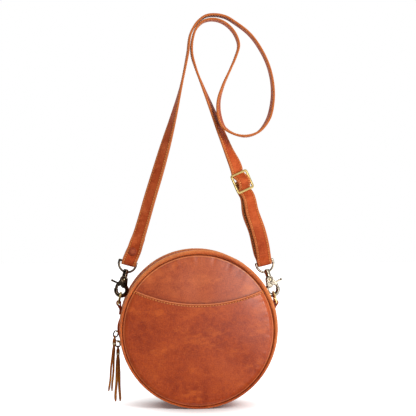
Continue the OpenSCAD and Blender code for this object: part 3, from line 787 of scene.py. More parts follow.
def pale_brass():
    return metal("Pale brass", tuple(colours().pale_brass), gloss=0.2, tarnish=0.2)


def buckle_brass():
    return metal("Buckle brass", tuple(colours().buckle_brass), gloss=0.32, tarnish=0.25, relief=0.03)


def zip_brass():
    return metal("Zip brass", tuple(colours().zip_brass), gloss=0.28, tarnish=0.4)


def dark_brass():
    return metal("Dark brass", tuple(colours().dark_brass), gloss=0.18, tarnish=0.5, relief=0.05)


def rivet_brass():
    return metal("Rivet brass", tuple(colours().pale_brass), gloss=0.4, tarnish=0.2, purity=0.3)


def ring_metal():
    return metal("Ring metal", tuple(colours().ring_brass), gloss=0.26, tarnish=0.25)


# Rows that follow a path, such as stitches and zip teeth
ROW_INPUTS = (
    ("Geometry", "NodeSocketGeometry", None), ("Piece", "NodeSocketObject", None),
    ("Finish", "NodeSocketMaterial", None), ("Pitch", "NodeSocketFloat", 3.6 * MM),
    ("Sink", "NodeSocketFloat", 0.0), ("Wander", "NodeSocketFloat", 0.0), ("Seed", "NodeSocketInt", 1),
)


def stored(tree, name):
    return node(tree, "GeometryNodeInputNamedAttribute", {"Name": name}, data_type="FLOAT_VECTOR").outputs[0]


def row_turns(tree, rise, given):
    """Each copy's turn: upright along rise, then along the path, then a small random slant."""
    upright = node(tree, "FunctionNodeAlignRotationToVector", {"Vector": rise}, axis="Z").outputs[0]
    turned = node(
        tree, "FunctionNodeAlignRotationToVector", {"Rotation": upright, "Vector": stored(tree, "way")},
        axis="X", pivot_axis="Z",
    ).outputs[0]
    jitter = node(tree, "FunctionNodeRandomValue", {"Seed": given["Seed"]}, data_type="FLOAT")
    jitter.inputs[2].default_value = -1.0
    jitter.inputs[3].default_value = 1.0
    swing = sum_of(tree, "MULTIPLY", jitter.outputs[1], given["Wander"])
    slant = node(tree, "ShaderNodeCombineXYZ", {2: swing}).outputs[0]
    swung = node(tree, "FunctionNodeEulerToRotation", {0: slant}).outputs[0]
    return node(
        tree, "FunctionNodeRotateRotation", {"Rotation": turned, "Rotate By": swung}, rotation_space="LOCAL",
    ).outputs[0]


def row_tree():
    """Instances of one small piece along a curve, level with the curve's own rise."""
    found = bpy.data.node_groups.get("Row along a path")
    if found:
        return found
    tree = bpy.data.node_groups.new("Row along a path", "GeometryNodeTree")
    tree.is_modifier = True
    for name, kind, default in ROW_INPUTS:
        socket = tree.interface.new_socket(name=name, in_out="INPUT", socket_type=kind)
        if default is not None:
            socket.default_value = default
    tree.interface.new_socket(name="Geometry", in_out="OUTPUT", socket_type="NodeSocketGeometry")
    given = node(tree, "NodeGroupInput").outputs
    curve = node(tree, "GeometryNodeMeshToCurve", {"Mesh": given["Geometry"]}).outputs["Curve"]
    way = node(tree, "GeometryNodeInputTangent").outputs[0]
    kept = node(
        tree, "GeometryNodeStoreNamedAttribute", {"Geometry": curve, "Name": "way", "Value": way},
        data_type="FLOAT_VECTOR", domain="POINT",
    ).outputs[0]
    spots = node(tree, "GeometryNodeResampleCurve", {"Curve": kept, "Length": given["Pitch"]}, mode="LENGTH")
    rise = stored(tree, "rise")
    turns = row_turns(tree, rise, given)
    down = sum_of(tree, "MULTIPLY", given["Sink"], -1.0)
    lowered = node(tree, "ShaderNodeVectorMath", {0: rise, "Scale": down}, operation="SCALE").outputs[0]
    sunk = node(tree, "GeometryNodeSetPosition", {"Geometry": spots.outputs[0], "Offset": lowered}).outputs[0]
    source = node(tree, "GeometryNodeObjectInfo", {"Object": given["Piece"]}).outputs["Geometry"]
    placed = node(
        tree, "GeometryNodeInstanceOnPoints", {"Points": sunk, "Instance": source, "Rotation": turns},
    ).outputs[0]
    real = node(tree, "GeometryNodeRealizeInstances", {"Geometry": placed}).outputs[0]
    finish = {"Geometry": real, "Material": given["Finish"]}
    painted = node(tree, "GeometryNodeSetMaterial", finish).outputs[0]
    node(tree, "NodeGroupOutput", {"Geometry": painted})
    return tree


def row(name, paths, rises, piece, finish, pitch, sink=0.0, wander=0.0, seed=1):
    """Copies of piece along each path. paths and rises are lists of point arrays in millimetres."""
    points = []
    edges = []
    ups = []
    for path, rise in zip(paths, rises):
        first = len(points)
        points += [tuple(p * MM) for p in np.asarray(path, float)]
        ups += [tuple(u) for u in unit(rise)]
        edges += [(first + i, first + i + 1) for i in range(len(path) - 1)]
    mesh = bpy.data.meshes.new(name)
    mesh.from_pydata(points, edges, [])
    layer = mesh.attributes.new("rise", "FLOAT_VECTOR", "POINT")
    layer.data.foreach_set("vector", np.array(ups, np.float32).reshape(-1))
    obj = bpy.data.objects.new(name, mesh)
    bpy.context.scene.collection.objects.link(obj)
    tree = row_tree()
    modifier = obj.modifiers.new("Row", "NODES")
    modifier.node_group = tree
    values = {
        "Piece": piece, "Finish": finish, "Pitch": pitch * MM,
        "Sink": sink * MM, "Wander": wander, "Seed": seed,
    }
    for item in tree.interface.items_tree:
        if item.item_type == "SOCKET" and item.in_out == "INPUT" and item.name in values:
            modifier[item.identifier] = values[item.name]
    bake_modifiers(obj)
    tidy_mesh(obj.data, 50)
    return obj


def small_piece(name, rings):
    """A source piece for rows, hidden from the render."""
    found = bpy.data.objects.get(name)
    if found:
        return found
    obj = loft(name, rings, sharp=50)
    bpy.context.scene.collection.objects.unlink(obj)
    return obj


def stitch_piece():
    half = sizes().stitch_length / MM / 2
    radius = sizes().stitch_width / MM / 2
    turn = np.linspace(0, 2 * np.pi, 8, endpoint=False)
    rings = []
    for at in np.linspace(-1, 1, 9):
        dip = radius * 0.9 * abs(at) ** 3
        girth = radius * math.sqrt(max(0.0, 1 - abs(at) ** 5)) + 0.03
        rings.append([(at * half, girth * np.cos(a), girth * 0.8 * np.sin(a) - dip) for a in turn])
    return small_piece("One stitch", rings)


STITCH_WANDER = 0.06


def stitches(name, paths, rises, finish, sink, seed=1, pitch=None):
    """Rows of stitches along paths, sunk into the leather or, below 0, raised over it."""
    step = pitch or sizes().stitch_pitch / MM
    return row(name, paths, rises, stitch_piece(), finish, step, sink, STITCH_WANDER, seed)


def light_thread():
    return thread("Light thread", tuple(colours().thread))


def dark_thread():
    return thread("Seam thread", tuple(colours().dark_thread))


# Panels, pocket and rolled edges
def from_rim(x, z):
    """Distance inside the seam, a circle that lies a little low and left on the bag's face."""
    return RIM_R - np.hypot(x - RIM_X, z - RIM_Z)


def panel_rise(x, z):
    """How far a panel's outer face stands over its flat seat at a place from the bag's middle."""
    inside = from_rim(x, z)
    crown = sizes().crown / MM
    groove = sizes().groove / MM
    angle = np.arctan2(z, x)
    dome = crown * (1 - (1 - inside / RIM_R) ** 2) + RIM_LIFT
    dip = groove * (1 - smooth(0.2, 1.9, inside))
    pucker = 0.13 * ripple(angle, EDGE_WAVES) * (1 - smooth(5, 16, inside))
    slack = 0.35 * ripple(angle, SLOW_WAVES) * smooth(4, 24, inside) * (1 - smooth(34, 74, inside))
    return dome - dip + pucker + slack


def groove_painted_light(inside):
    """Painted shade in the groove beside the rolled edge, a thin painted highlight on the ridge just inside,
    and faint painted shade in the crease after it.
    """
    return 0.6 * near(inside, 2.0, 0.6) - 0.22 * near(inside, 3.5, 0.6) - 1.0 + smooth(0.3, 1.3, inside)


def build_panel(name, side):
    turns = np.linspace(0, 2 * np.pi, 300, endpoint=False)
    radii = np.concatenate([
        np.linspace(2, RIM_R - 16, 32), np.linspace(RIM_R - 15, RIM_R - 4, 14),
        np.linspace(RIM_R - 3.6, RIM_R, 18),
    ])
    radius, turn = np.meshgrid(radii, turns, indexing="ij")
    x = RIM_X + radius * np.cos(turn)
    z = RIM_Z + radius * np.sin(turn)
    outer = np.stack([x, side * (PANEL_FACE + panel_rise(x, z)), z], 2)
    inner = np.stack([x, np.full_like(x, side * (PANEL_FACE - LEATHER_T)), z], 2)[::-1]
    shown = groove_painted_light(RIM_R - radius) + 0.05 * ripple(turn, SLOW_WAVES)
    if side < 0:
        # Painted shade above the pocket's edge: a dark line just over the edge and a faint shade a little
        # higher
        above = MOUTH_R - np.hypot(x, z - MOUTH_Z)
        shown = shown - 0.16 * (1 - smooth(0, 9, above)) - 0.42 * (1 - smooth(0.5, 2.0, above))
    tone = np.concatenate([shown, np.zeros_like(shown)])
    obj = loft(name, np.concatenate([outer, inner]) + BAG, marks={"tone": tone})
    return dress(obj, panel_leather(), "panel_leather", "bag", name)


def mouth_corner():
    """Where the pocket's mouth meets the seam, as angles round the mouth's arc and round the seam.

    Each is a pair, left and right.
    """
    apart = math.hypot(RIM_X, MOUTH_Z - RIM_Z)
    lean = math.atan2(-RIM_X, MOUTH_Z - RIM_Z)
    mouth_turn = math.acos((MOUTH_R**2 + apart**2 - RIM_R**2) / (2 * MOUTH_R * apart))
    rim_turn = math.acos((RIM_R**2 + apart**2 - MOUTH_R**2) / (2 * RIM_R * apart))
    top = math.pi / 2 - lean
    return (-mouth_turn - lean, mouth_turn - lean), (top + rim_turn, top - rim_turn)


def mouth_path(below):
    """Points at a distance below the pocket's edge, on its outer face, from rim to rim."""
    turn = np.linspace(*mouth_corner()[0], 200)
    x = (MOUTH_R + below) * np.sin(turn)
    z = MOUTH_Z - (MOUTH_R + below) * np.cos(turn)
    keep = from_rim(x, z) > 1.2
    x = x[keep]
    z = z[keep]
    return np.stack([x, -(PANEL_FACE + pocket_rise(x, z)), z], 1) + BAG


def pocket_rise(x, z):
    """The same height for the pocket's outer face, which stands off the panel a little at its mouth."""
    inside = from_rim(x, z)
    below = np.hypot(x, z - MOUTH_Z) - MOUTH_R
    layer = 1.75 * smooth(0.5, 7, inside) + 0.35
    gape = sizes().pocket_gape / MM * np.exp(-np.clip(below, 0, None) / 14) * smooth(6, 34, inside)
    bead = 0.3 * near(below, 0.8, 0.8)
    pressed = 0.3 * near(below, MOUTH_STITCH_IN, 0.5)
    return panel_rise(x, z) + layer + gape + bead - pressed


def build_pocket():
    mouth_ends, rim_ends = mouth_corner()
    share = np.linspace(0.004, 0.996, 260)
    turn = mouth_ends[0] + (mouth_ends[1] - mouth_ends[0]) * share
    mouth = np.stack([MOUTH_R * np.sin(turn), MOUTH_Z - MOUTH_R * np.cos(turn)], 1)
    rim_turn = rim_ends[0] + (2 * np.pi + rim_ends[1] - rim_ends[0]) * share
    rim = RIM_R * np.stack([np.cos(rim_turn), np.sin(rim_turn)], 1) + np.array([RIM_X, RIM_Z])
    down = np.concatenate([np.linspace(0, 0.07, 16), np.linspace(0.085, 0.9, 56), np.linspace(0.91, 1, 12)])
    flat = mouth[:, None, :] + down[None, :, None] * (rim - mouth)[:, None, :]
    x = flat[..., 0]
    z = flat[..., 1]
    rise = pocket_rise(x, z)
    thick = np.minimum(POCKET_T, rise - panel_rise(x, z) - 0.06)
    outer = np.stack([x, -(PANEL_FACE + rise), z], 2)
    inner = np.stack([x, -(PANEL_FACE + rise - thick), z], 2)
    edge_up = unit(np.stack([-mouth[:, 0], MOUTH_Z - mouth[:, 1]], 1))
    middle = (outer[:, 0] + inner[:, 0]) / 2
    half = thick[:, 0] / 2
    fold = []
    for at in np.linspace(0, 180, 9)[1:-1]:
        up = half * sind(at)
        fold.append(middle + np.stack([edge_up[:, 0] * up, -half * cosd(at), edge_up[:, 1] * up], 1))
    fold = np.stack(fold, 1)
    rings = np.concatenate([outer[:, ::-1], fold, inner], 1)
    below = np.hypot(x, z - MOUTH_Z) - MOUTH_R
    # The pocket's tone: a painted highlight along its folded mouth edge and on the fold, darker round the
    # stitch line, and the groove's painted shade and highlight near the rim
    tone = groove_painted_light(from_rim(x, z)) + near(below, 0, 0.8) - 0.3 * near(below, MOUTH_STITCH_IN, 1.3)
    tones = np.concatenate([tone[:, ::-1], np.full(fold.shape[:2], 0.2), np.zeros_like(tone)], 1)
    obj = loft("front_pocket", rings + BAG, marks={"tone": tones})
    dress(obj, pocket_leather(), "pocket_leather", "bag", "front_pocket")
    path = mouth_path(MOUTH_STITCH_IN)
    outward = np.tile([0, -1, 0], (len(path), 1))
    rows = stitches("pocket_stitches", [path], [outward], light_thread(), -0.05)
    dress(rows, light_thread(), "pocket_leather", "bag")


def build_roll(name, side):
    """A rolled edge, from the seam circle out to the bag's rim, so a little narrower at the bottom."""
    turns = np.linspace(0, 2 * np.pi, 420, endpoint=False)
    ring = np.linspace(0, 2 * np.pi, 30, endpoint=False)
    turn, around = np.meshgrid(turns, ring, indexing="ij")
    swell = 1 + 0.02 * ripple(turn, SLOW_WAVES) + 0.03 * ripple(turn + 0.04 * np.sin(around), EDGE_WAVES)
    full = swell + 0.05 * ripple(turn + 0.5 * np.cos(around), ROLL_CREASES)
    off = RIM_X * np.sin(turn) - RIM_Z * np.cos(turn)
    seam = RIM_X * np.cos(turn) + RIM_Z * np.sin(turn) + np.sqrt(RIM_R**2 - off**2)
    half = (BAG_R - seam) / 2 + 0.1
    radius = BAG_R - half + half * full * np.cos(around)
    depth = side * (ROLL_Y + ROLL_D / 2 * full * np.sin(around))
    points = np.stack([radius * np.cos(turn), depth, radius * np.sin(turn)], 2) + BAG
    # Painted light on the roll: a painted highlight along its front, painted shade where it turns into the
    # seam and on its lower part, and its outer side painted lighter, more so at the top; the ripple is tone
    # of its own
    seam_shade = smooth(0.92, 1.0, np.clip(-np.cos(around), 0, 1))
    low = smooth(0.1, 0.9, -np.sin(turn))
    high = smooth(-0.2, 0.8, np.sin(turn))
    tone = 0.16 * near(around, 1.3, 0.5) - 0.75 * seam_shade + 0.12 * ripple(turn + 0.1 * around, SLOW_WAVES)
    tone = tone - 0.1 * low + (0.12 + 0.3 * high) * smooth(0.2, 0.9, np.cos(around))
    obj = loft(name, points, loop=True, marks={"tone": tone})
    return dress(obj, edge_leather(), "edge_leather", "bag", name)


def build_rim_stitches(name, side):
    turns = np.linspace(0, 2 * np.pi, 721)
    radius = RIM_R - 0.7
    x = RIM_X + radius * np.cos(turns)
    z = RIM_Z + radius * np.sin(turns)
    over = panel_rise(x, z)
    if side < 0:
        over = np.where(np.hypot(x, z - MOUTH_Z) < MOUTH_R, over, pocket_rise(x, z))
    path = np.stack([x, side * (PANEL_FACE + over), z], 1) + BAG
    obj = stitches(name, [path], [np.tile([0, side, 0], (len(path), 1))], dark_thread(), 0.0, 3)
    return dress(obj, dark_thread(), "panel_leather", "bag")


# Gusset and zip. Angles go from +X over the top, as in the frame.
def round_bag(radius, y, at):
    """Places at a distance from the middle of the bag, at a depth y and an angle."""
    radius, y, at = np.broadcast_arrays(radius, y, at)
    return np.stack([radius * cosd(at), y, radius * sind(at)], -1) + BAG


def away(at):
    """The way straight out of the bag's side at an angle."""
    at = np.asarray(at, float)
    return np.stack([cosd(at), np.zeros_like(at), sind(at)], -1)


def band(name, r_out, thick, depths, angles, rise, tone=None, corner=0.45, across=26):
    """A strip bent round the bag, outer face at r_out. rise(at, y) lifts its outer face."""
    section, mask = strip_section(depths[1] - depths[0], thick, across, 5, corner)
    turns = np.linspace(*angles, max(8, int(angles[1] - angles[0])) + 1)
    at, y = np.meshgrid(turns, section[:, 0] + sum(depths) / 2, indexing="ij")
    outer_share = smooth(-0.2, 0.6, section[None, :, 1] / thick * 2)
    radius = r_out - thick / 2 + section[None, :, 1] + rise(at, y) * outer_share
    tones = tone(at, y) if tone else np.zeros_like(at)
    marks = {"tone": tones, "edge": np.repeat(mask[None], len(turns), 0)}
    return loft(name, round_bag(radius, y, at), marks=marks)


def band_rows(name, radius, depths, angles, finish, sink):
    """Stitch rows round the bag, one at each depth."""
    at = np.linspace(*angles, max(6, int(angles[1] - angles[0])))
    paths = [round_bag(radius, y, at) for y in depths]
    return stitches(name, paths, [away(at)] * len(depths), finish, sink, 5)


def gusset_rise(at, y):
    """Gentle waves, pressed down beside the rolled edges and behind the hooks."""
    pressed = 0.35 * near(np.abs(y), GUSSET_Y - 1.0, 0.9)
    hollow = HOOK_HOLLOW * near(np.abs(at - 90), HOOK_TURN, 5) * near(y, 0, 9)
    return 0.12 * ripple(np.radians(at), EDGE_WAVES) - pressed - hollow


def lower_rise(at, y):
    """The gusset's lower part, which laps over the upper one at both side seams."""
    end = np.minimum(at - LOWER_PART[0], LOWER_PART[1] - at)
    return gusset_rise(at, y) + 0.5 * (1 - smooth(3.5, 5.5, end)) - 0.25 * near(end, 2.0, 0.5)


def seam_tone(angles):
    """Dark in the side seams and beside the rolled edges."""
    def tone(at, y):
        end = np.minimum(np.abs(at - angles[0]), np.abs(at - angles[1]))
        return -0.7 * near(end, 0, 0.35) - 0.6 * smooth(GUSSET_Y - 2.2, GUSSET_Y - 0.6, np.abs(y))

    return tone


def zip_side_rise(edge_y):
    """A strip beside the zip: level at the zip, pressed by its stitches, and full at the left."""
    def rise(at, y):
        off = np.abs(y - edge_y)
        belly = BELLY_RISE * near(at, BELLY_AT, 7) * smooth(4, 9, off) * smooth(0.5, 5, GUSSET_Y - y)
        return gusset_rise(at, y) * smooth(1, 4, off) + belly - 0.25 * near(off, ZIP_STITCH_IN, 0.5)

    return rise


def zip_side_tone(edge_y):
    """Worn light at the strip's edge and dark in its stitch line."""
    seams = seam_tone(UPPER_PART)

    def tone(at, y):
        off = np.abs(y - edge_y)
        return seams(at, y) + 0.35 * near(off, 0, 0.8) - 0.3 * near(off, ZIP_STITCH_IN, 0.5)

    return tone


def build_gusset():
    lower = band(
        "gusset_lower", GUSSET_R, LEATHER_T, (-GUSSET_Y, GUSSET_Y), LOWER_PART, lower_rise,
        seam_tone(LOWER_PART),
    )
    dress(lower, gusset_leather(), "gusset_leather", "bag", "gusset_lower")
    for name, depths, edge_y, across in (
        ("gusset_strip_front", (-GUSSET_Y, STRIP_FRONT_HIGH), STRIP_FRONT_HIGH, 26),
        ("gusset_strip_back", (STRIP_BACK_LOW, GUSSET_Y), STRIP_BACK_LOW, 44),
    ):
        strip = band(
            name, GUSSET_R, LEATHER_T, depths, UPPER_PART, zip_side_rise(edge_y), zip_side_tone(edge_y),
            across=across,
        )
        dress(strip, gusset_leather(), "gusset_leather", "bag", name)
    rows = band_rows(
        "zip_slot_stitches", GUSSET_R, (STRIP_FRONT_HIGH - ZIP_STITCH_IN, STRIP_BACK_LOW + ZIP_STITCH_IN),
        (UPPER_PART[0] + 1, UPPER_PART[1] - 1), light_thread(), 0.15,
    )
    dress(rows, light_thread(), "gusset_leather", "bag")
    y = np.linspace(-GUSSET_Y + 2, GUSSET_Y - 2, 30)
    ends = (LOWER_PART[0] + 1.2, LOWER_PART[1] - 1.2)
    seams = [round_bag(GUSSET_R + 0.5, y, at) for at in ends]
    rises = [np.tile(away(at), (len(y), 1)) for at in ends]
    side = stitches("side_seam_stitches", seams, rises, light_thread(), 0.25, 7)
    dress(side, light_thread(), "gusset_leather", "bag")


def tooth_piece():
    """One zip tooth: a block with a rounded head, long across the zip (Y) and standing in Z."""
    outline = [(-0.72, -1.2), (0.72, -1.2), (0.78, 0.6), (0.5, 1.25), (-0.5, 1.25), (-0.78, 0.6)]
    return small_piece("One tooth", slab(outline, -0.7, 0.7, 0.22, lambda u, v, w: (u, v, w)))


def tape_rise(at, y):
    """Each tape falls off a little from the zip's middle, alike at every angle."""
    return -0.12 * smooth(0, 2.0, np.abs(y - ZIP_Y))


def build_zip():
    ends = (UPPER_PART[0] + TAPE_END_GAP, UPPER_PART[1] - TAPE_END_GAP)
    tape = cloth("Zip tape", tuple(colours().tape), 0.7)
    for name, depths in (
        ("zip_tape_front", (ZIP_Y - TAPE_W, ZIP_Y - 0.12)), ("zip_tape_back", (ZIP_Y + 0.12, ZIP_Y + TAPE_W)),
    ):
        obj = band(name, TAPE_R, TAPE_T, depths, ends, tape_rise, corner=0.4, across=12)
        dress(obj, tape, "zip_tape", "bag", name)
    pitch = sizes().tooth_pitch / MM
    middle_r = (TAPE_R + TEETH_R) / 2
    half_turn = math.degrees(pitch / 2 / middle_r)
    front_at = np.linspace(ends[0] + 0.5, ends[1] - 0.5, 400)
    back_at = np.linspace(ends[0] + 0.5 + half_turn, ends[1] - 0.5, 400)[::-1]
    for name, side, at in (("zip_teeth_front", -1, front_at), ("zip_teeth_back", 1, back_at)):
        path = round_bag(middle_r, ZIP_Y + side * (TEETH_W / 2 - 1.1), at)
        obj = row(name, [path], [away(at)], tooth_piece(), zip_brass(), pitch)
        dress(obj, zip_brass(), "zip_brass", "bag", name)


def track_frame(at):
    """Out, along the zip (downward at the left) and across, at an angle of the track."""
    return away(at), np.array([-sind(at), 0.0, cosd(at)]), np.array([0.0, 1.0, 0.0])


def build_slider(name, at):
    """A plate with rounded ends on the strips' edges, its two lips and the bail over it."""
    out, along, across = track_frame(at)
    seat = BAG + np.array([0.0, ZIP_Y, 0.0])
    plate_low = GUSSET_R + SEAT_GAP
    width = STRIP_BACK_LOW - STRIP_FRONT_HIGH + 2 * LEATHER_T / 3
    half_l = SLIDER_L / 2
    half_w = width / 2

    def place(u, v, w):
        return seat + w * out + u * along + v * across

    corners = [
        (-half_l, -half_w * 0.72, 0), (-half_l, half_w * 0.72, 0), (-half_l * 0.1, half_w, 0),
        (half_l, half_w * 0.86, 0), (half_l, -half_w * 0.86, 0), (-half_l * 0.1, -half_w, 0),
    ]
    outline = rounded_path(corners, [1.2, 1.2, 2.5, 1.4, 1.4, 2.5])[:, :2]
    parts = [loft("plate", slab(outline, plate_low, plate_low + SLIDER_T, 0.5, place))]
    lip_l = half_l * 0.85
    for side in (-1, 1):
        near_y = side * (half_w - 1.75) - 0.42
        far_y = near_y + 0.84
        lip = [(-lip_l, near_y), (lip_l, near_y), (lip_l, far_y), (-lip_l, far_y)]
        parts.append(loft("lip", slab(lip, TAPE_R + SEAT_GAP, plate_low + 0.3, 0.15, place)))
    top = plate_low + SLIDER_T
    bail_r = top + 2 * BAIL_D
    half_bail = (width - BAIL_D) / 2
    corners = [
        place(0, -half_bail, top - 0.6), place(0, -half_bail, bail_r),
        place(0, half_bail, bail_r), place(0, half_bail, top - 0.6),
    ]
    path = rounded_path(corners, [0, 1.1, 1.1, 0], loop=False)
    parts.append(loft("bail", wire(spaced(path, 0.5, False), along, BAIL_D / 2)))
    whole = join(parts, name)
    tidy_mesh(whole.data, 40)
    return dress(whole, zip_brass(), "zip_brass", name, name)


# Pulls: the ring, the lace folded through it and its rivet
def leaned(lean):
    """A pull's own axes, across it to the right and up along it, with its top leaned to the right."""
    return np.array([cosd(lean), 0.0, -sind(lean)]), np.array([sind(lean), 0.0, cosd(lean)])


def build_pull(which):
    """The pull's oval ring, slim where it passes through the bail, and the tassel in its foot."""
    side, up = leaned(PULL_LEANS[which])
    turn_r = (RING_W - RING_WIRE) / 2
    leg = RING_H - RING_W
    at = PULLS[which] - (turn_r - RING_WIRE / 2 - BAIL_D / 2 - TOUCH_GAP) * up
    more = (PULL_WIRE - RING_WIRE) / 2
    arc = np.linspace(0, 180, 15)
    upper = [at + (turn_r + more * (1 - sind(a))) * (cosd(a) * side + sind(a) * up) for a in arc]
    lower = [at - leg * up + (turn_r + more) * (cosd(a) * side + sind(a) * up) for a in arc + 180]
    path = spaced(upper + lower, 0.4)
    rings = wire(path, [0, 1, 0], PULL_WIRE / 2 / PULL_FLAT, True, 12, PULL_FLAT)
    slim = smooth(0.2 * turn_r, turn_r, (path - at) @ up)
    girth = 1 + (RING_WIRE / PULL_WIRE - 1) * slim
    ring = loft(f"pull_ring_{which}", thickened(rings, path, girth), loop=True)
    set_tone(ring, -0.9)
    dress(ring, dark_brass(), "ring_metal", f"pull_{which}", f"pull_ring_{which}")
    foot = at - (leg + turn_r) * up
    build_tassel(which, foot)
    build_rivet(which, foot)


def lace_course(which):
    """The lace's spots in the pull's own axes, its widths and its twists, down, through the ring and back."""
    gap = RING_WIRE / 2 + TOUCH_GAP + LACE_T / 2
    head = RIVET_DROP + LACE_W * 0.56
    sway, phase = TASSEL_BENDS[which]
    slimmer = 1 - STRAND_SHARES[which]
    up_to_ring = np.concatenate([np.linspace(TASSEL_L, head + 4, 40), np.linspace(head + 3.5, 0.6, 16)])
    spots = []
    widths = []
    twists = []
    for leaf in (-1, 1):
        for d in up_to_ring[::-leaf]:
            loose = max(0.0, d - head) / (TASSEL_L - head)
            x = 0.9 * smooth(head - 3, head + 8, d) + TASSEL_SPREADS[which] * smooth(head - 1, TASSEL_L, d)
            x = leaf * x + sway * math.sin(3.1 * loose * math.pi + phase + leaf) * loose
            y = leaf * (gap - 0.25 * loose) + 0.6 * math.sin(2.2 * loose * math.pi + leaf * phase) * loose
            spots.append((x, y, -d))
            shoulder = 0.5 + 0.5 * smooth(0.5, 5, d)
            strand = 1 - slimmer * smooth(head - 3.5, head + 1.5, d)
            tip = 0.55 + 0.45 * smooth(0, 4.5, TASSEL_L - d)
            widths.append(LACE_W * shoulder * strand * tip)
            twists.append(35 * loose * math.sin(4 * loose + leaf * 1.3))
        if leaf < 0:
            for a in np.linspace(180, 0, 11)[1:-1]:
                spots.append((0, gap * cosd(a), gap * sind(a) - 0.1))
                widths.append(0.5 * LACE_W)
                twists.append(0.0)
    return np.array(spots), np.array(widths), np.array(twists)


def build_tassel(which, foot):
    side, up = leaned(TASSEL_HANGS[which])
    back = np.array([0.0, 1.0, 0.0])
    spots, widths, twists = lace_course(which)
    world = foot + spots @ np.array([side, back, up])
    along = tangents(world)
    across = cosd(twists)[:, None] * side + sind(twists)[:, None] * back
    across = unit(across - (across * along).sum(1, keepdims=True) * along)
    section, mask = strip_section(LACE_W, LACE_T, 8, 3)
    sections = np.repeat(section[None], len(spots), 0)
    sections[:, :, 0] *= (widths / LACE_W)[:, None]
    rings = sweep(world, across, np.cross(across, along), sections)
    tones = np.repeat(-0.35 * mask[None], len(spots), 0)
    lace = loft(f"tassel_{which}", rings, marks={"tone": tones}, sharp=50)
    dress(lace, lace_leather(), "lace_leather", f"pull_{which}", f"tassel_{which}")


def build_rivet(which, foot):
    """The rivet through both leaves of the lace, with painted shade round and under its heads."""
    up = leaned(TASSEL_HANGS[which])[1]
    half = RING_WIRE / 2 + TOUCH_GAP + LACE_T + 0.1
    radius = LACE_W * 0.36
    post = radius * 0.6
    profile = [
        (0, -half - 0.5), (post, -half - 0.42), (radius, -half - 0.1), (radius, -half + 0.15),
        (post, -half + 0.2), (post, half - 0.2), (radius, half - 0.15), (radius, half + 0.1),
        (post, half + 0.42), (0, half + 0.5),
    ]
    # Painted shade round the heads' rims and under them, along the post
    darkening = [0.0, -0.1, -0.9, -0.9, -0.9, -0.9, -0.9, -0.9, -0.1, 0.0]
    rings = lathe(profile, foot - RIVET_DROP * up, [0, 1, 0])
    rivet = loft(f"tassel_rivet_{which}", rings, marks={"tone": ring_marks(darkening, rings)})
    dress(rivet, rivet_brass(), "zip_brass", f"pull_{which}", f"tassel_rivet_{which}")


# Side loops and D rings
TAB_STEM = [(-0.9, -3.6), (-2.2, -6.4), (-2.75, -8.8), (-2.6, -11.2), (-2.0, -14.6)]


def tab_path(side):
    """The loop's middle line: up the inner layer of its stem, over the ring's bar and down the outer one."""
    ring_r = DRING_WIRE / 2 + 0.15 + TAB_T / 2
    pinch = TAB_T / 2 + 0.05
    inner = []
    outer = []
    for i, (x, z) in enumerate(TAB_STEM):
        before = TAB_STEM[max(i - 1, 0)]
        after = TAB_STEM[min(i + 1, len(TAB_STEM) - 1)]
        way = unit(np.array(after) - np.array(before))
        off = np.array([-way[1], way[0]]) * pinch * (1.12 if i == 0 else 1)
        outer.append((x + off[0], z + off[1]))
        inner.append((x - off[0], z - off[1]))
    arc = [(ring_r * cosd(a), ring_r * sind(a)) for a in np.linspace(205, -25, 21)]
    line = np.array([*inner[::-1], *arc, *outer])
    path = np.stack([side * line[:, 0], 0 * line[:, 0], line[:, 1]], 1) + RING_BARS[side]
    return smoothed(spaced(path, 0.6, False), 3)


def build_side_loop(side):
    name = "tab_right" if side > 0 else "tab_left"
    path = tab_path(side)
    along = tangents(path)
    across = np.tile([0.0, 1.0, 0.0], (len(path), 1))
    out = np.cross(across, along) * side
    section, mask = strip_section(TAB_W, TAB_T, 16, 5)
    flare = 1 + 0.05 * smooth(4, 14, RING_BARS[side][2] - path[:, 2])
    sections = np.repeat(section[None], len(path), 0)
    sections[:, :, 0] *= flare[:, None]
    rings = sweep(path, across, out, sections)
    marks = {"edge": np.repeat(mask[None], len(path), 0), "tone": np.zeros(rings.shape[:2])}
    obj = loft(name, rings, marks=marks)
    dress(obj, tab_leather(), "tab_leather", "bag", name)
    outer_from = len(path) - int(len(path) * 0.36)
    lines = []
    rises = []
    for y in (-TAB_W / 2 + TAB_STITCH_IN, TAB_W / 2 - TAB_STITCH_IN):
        part = path[outer_from:-2] + out[outer_from:-2] * TAB_T / 2 + np.array([0, y, 0])
        lines.append(part)
        rises.append(out[outer_from:-2])
    for index in (outer_from, len(path) - 4):
        y = np.linspace(-TAB_W / 2 + 2.4, TAB_W / 2 - 2.4, 12)
        middle = path[index] + out[index] * TAB_T / 2
        lines.append(middle + np.stack([0 * y, y, 0 * y], 1))
        rises.append(np.tile(out[index], (12, 1)))
    rows = stitches(f"{name}_stitches", lines, rises, light_thread(), 0.05, 9, 2.9)
    dress(rows, light_thread(), "tab_leather", "bag")


def smoothed(path, rounds):
    path = path.copy()
    for _ in range(rounds):
        path[1:-1] = (path[:-2] + 2 * path[1:-1] + path[2:]) / 4
    return path


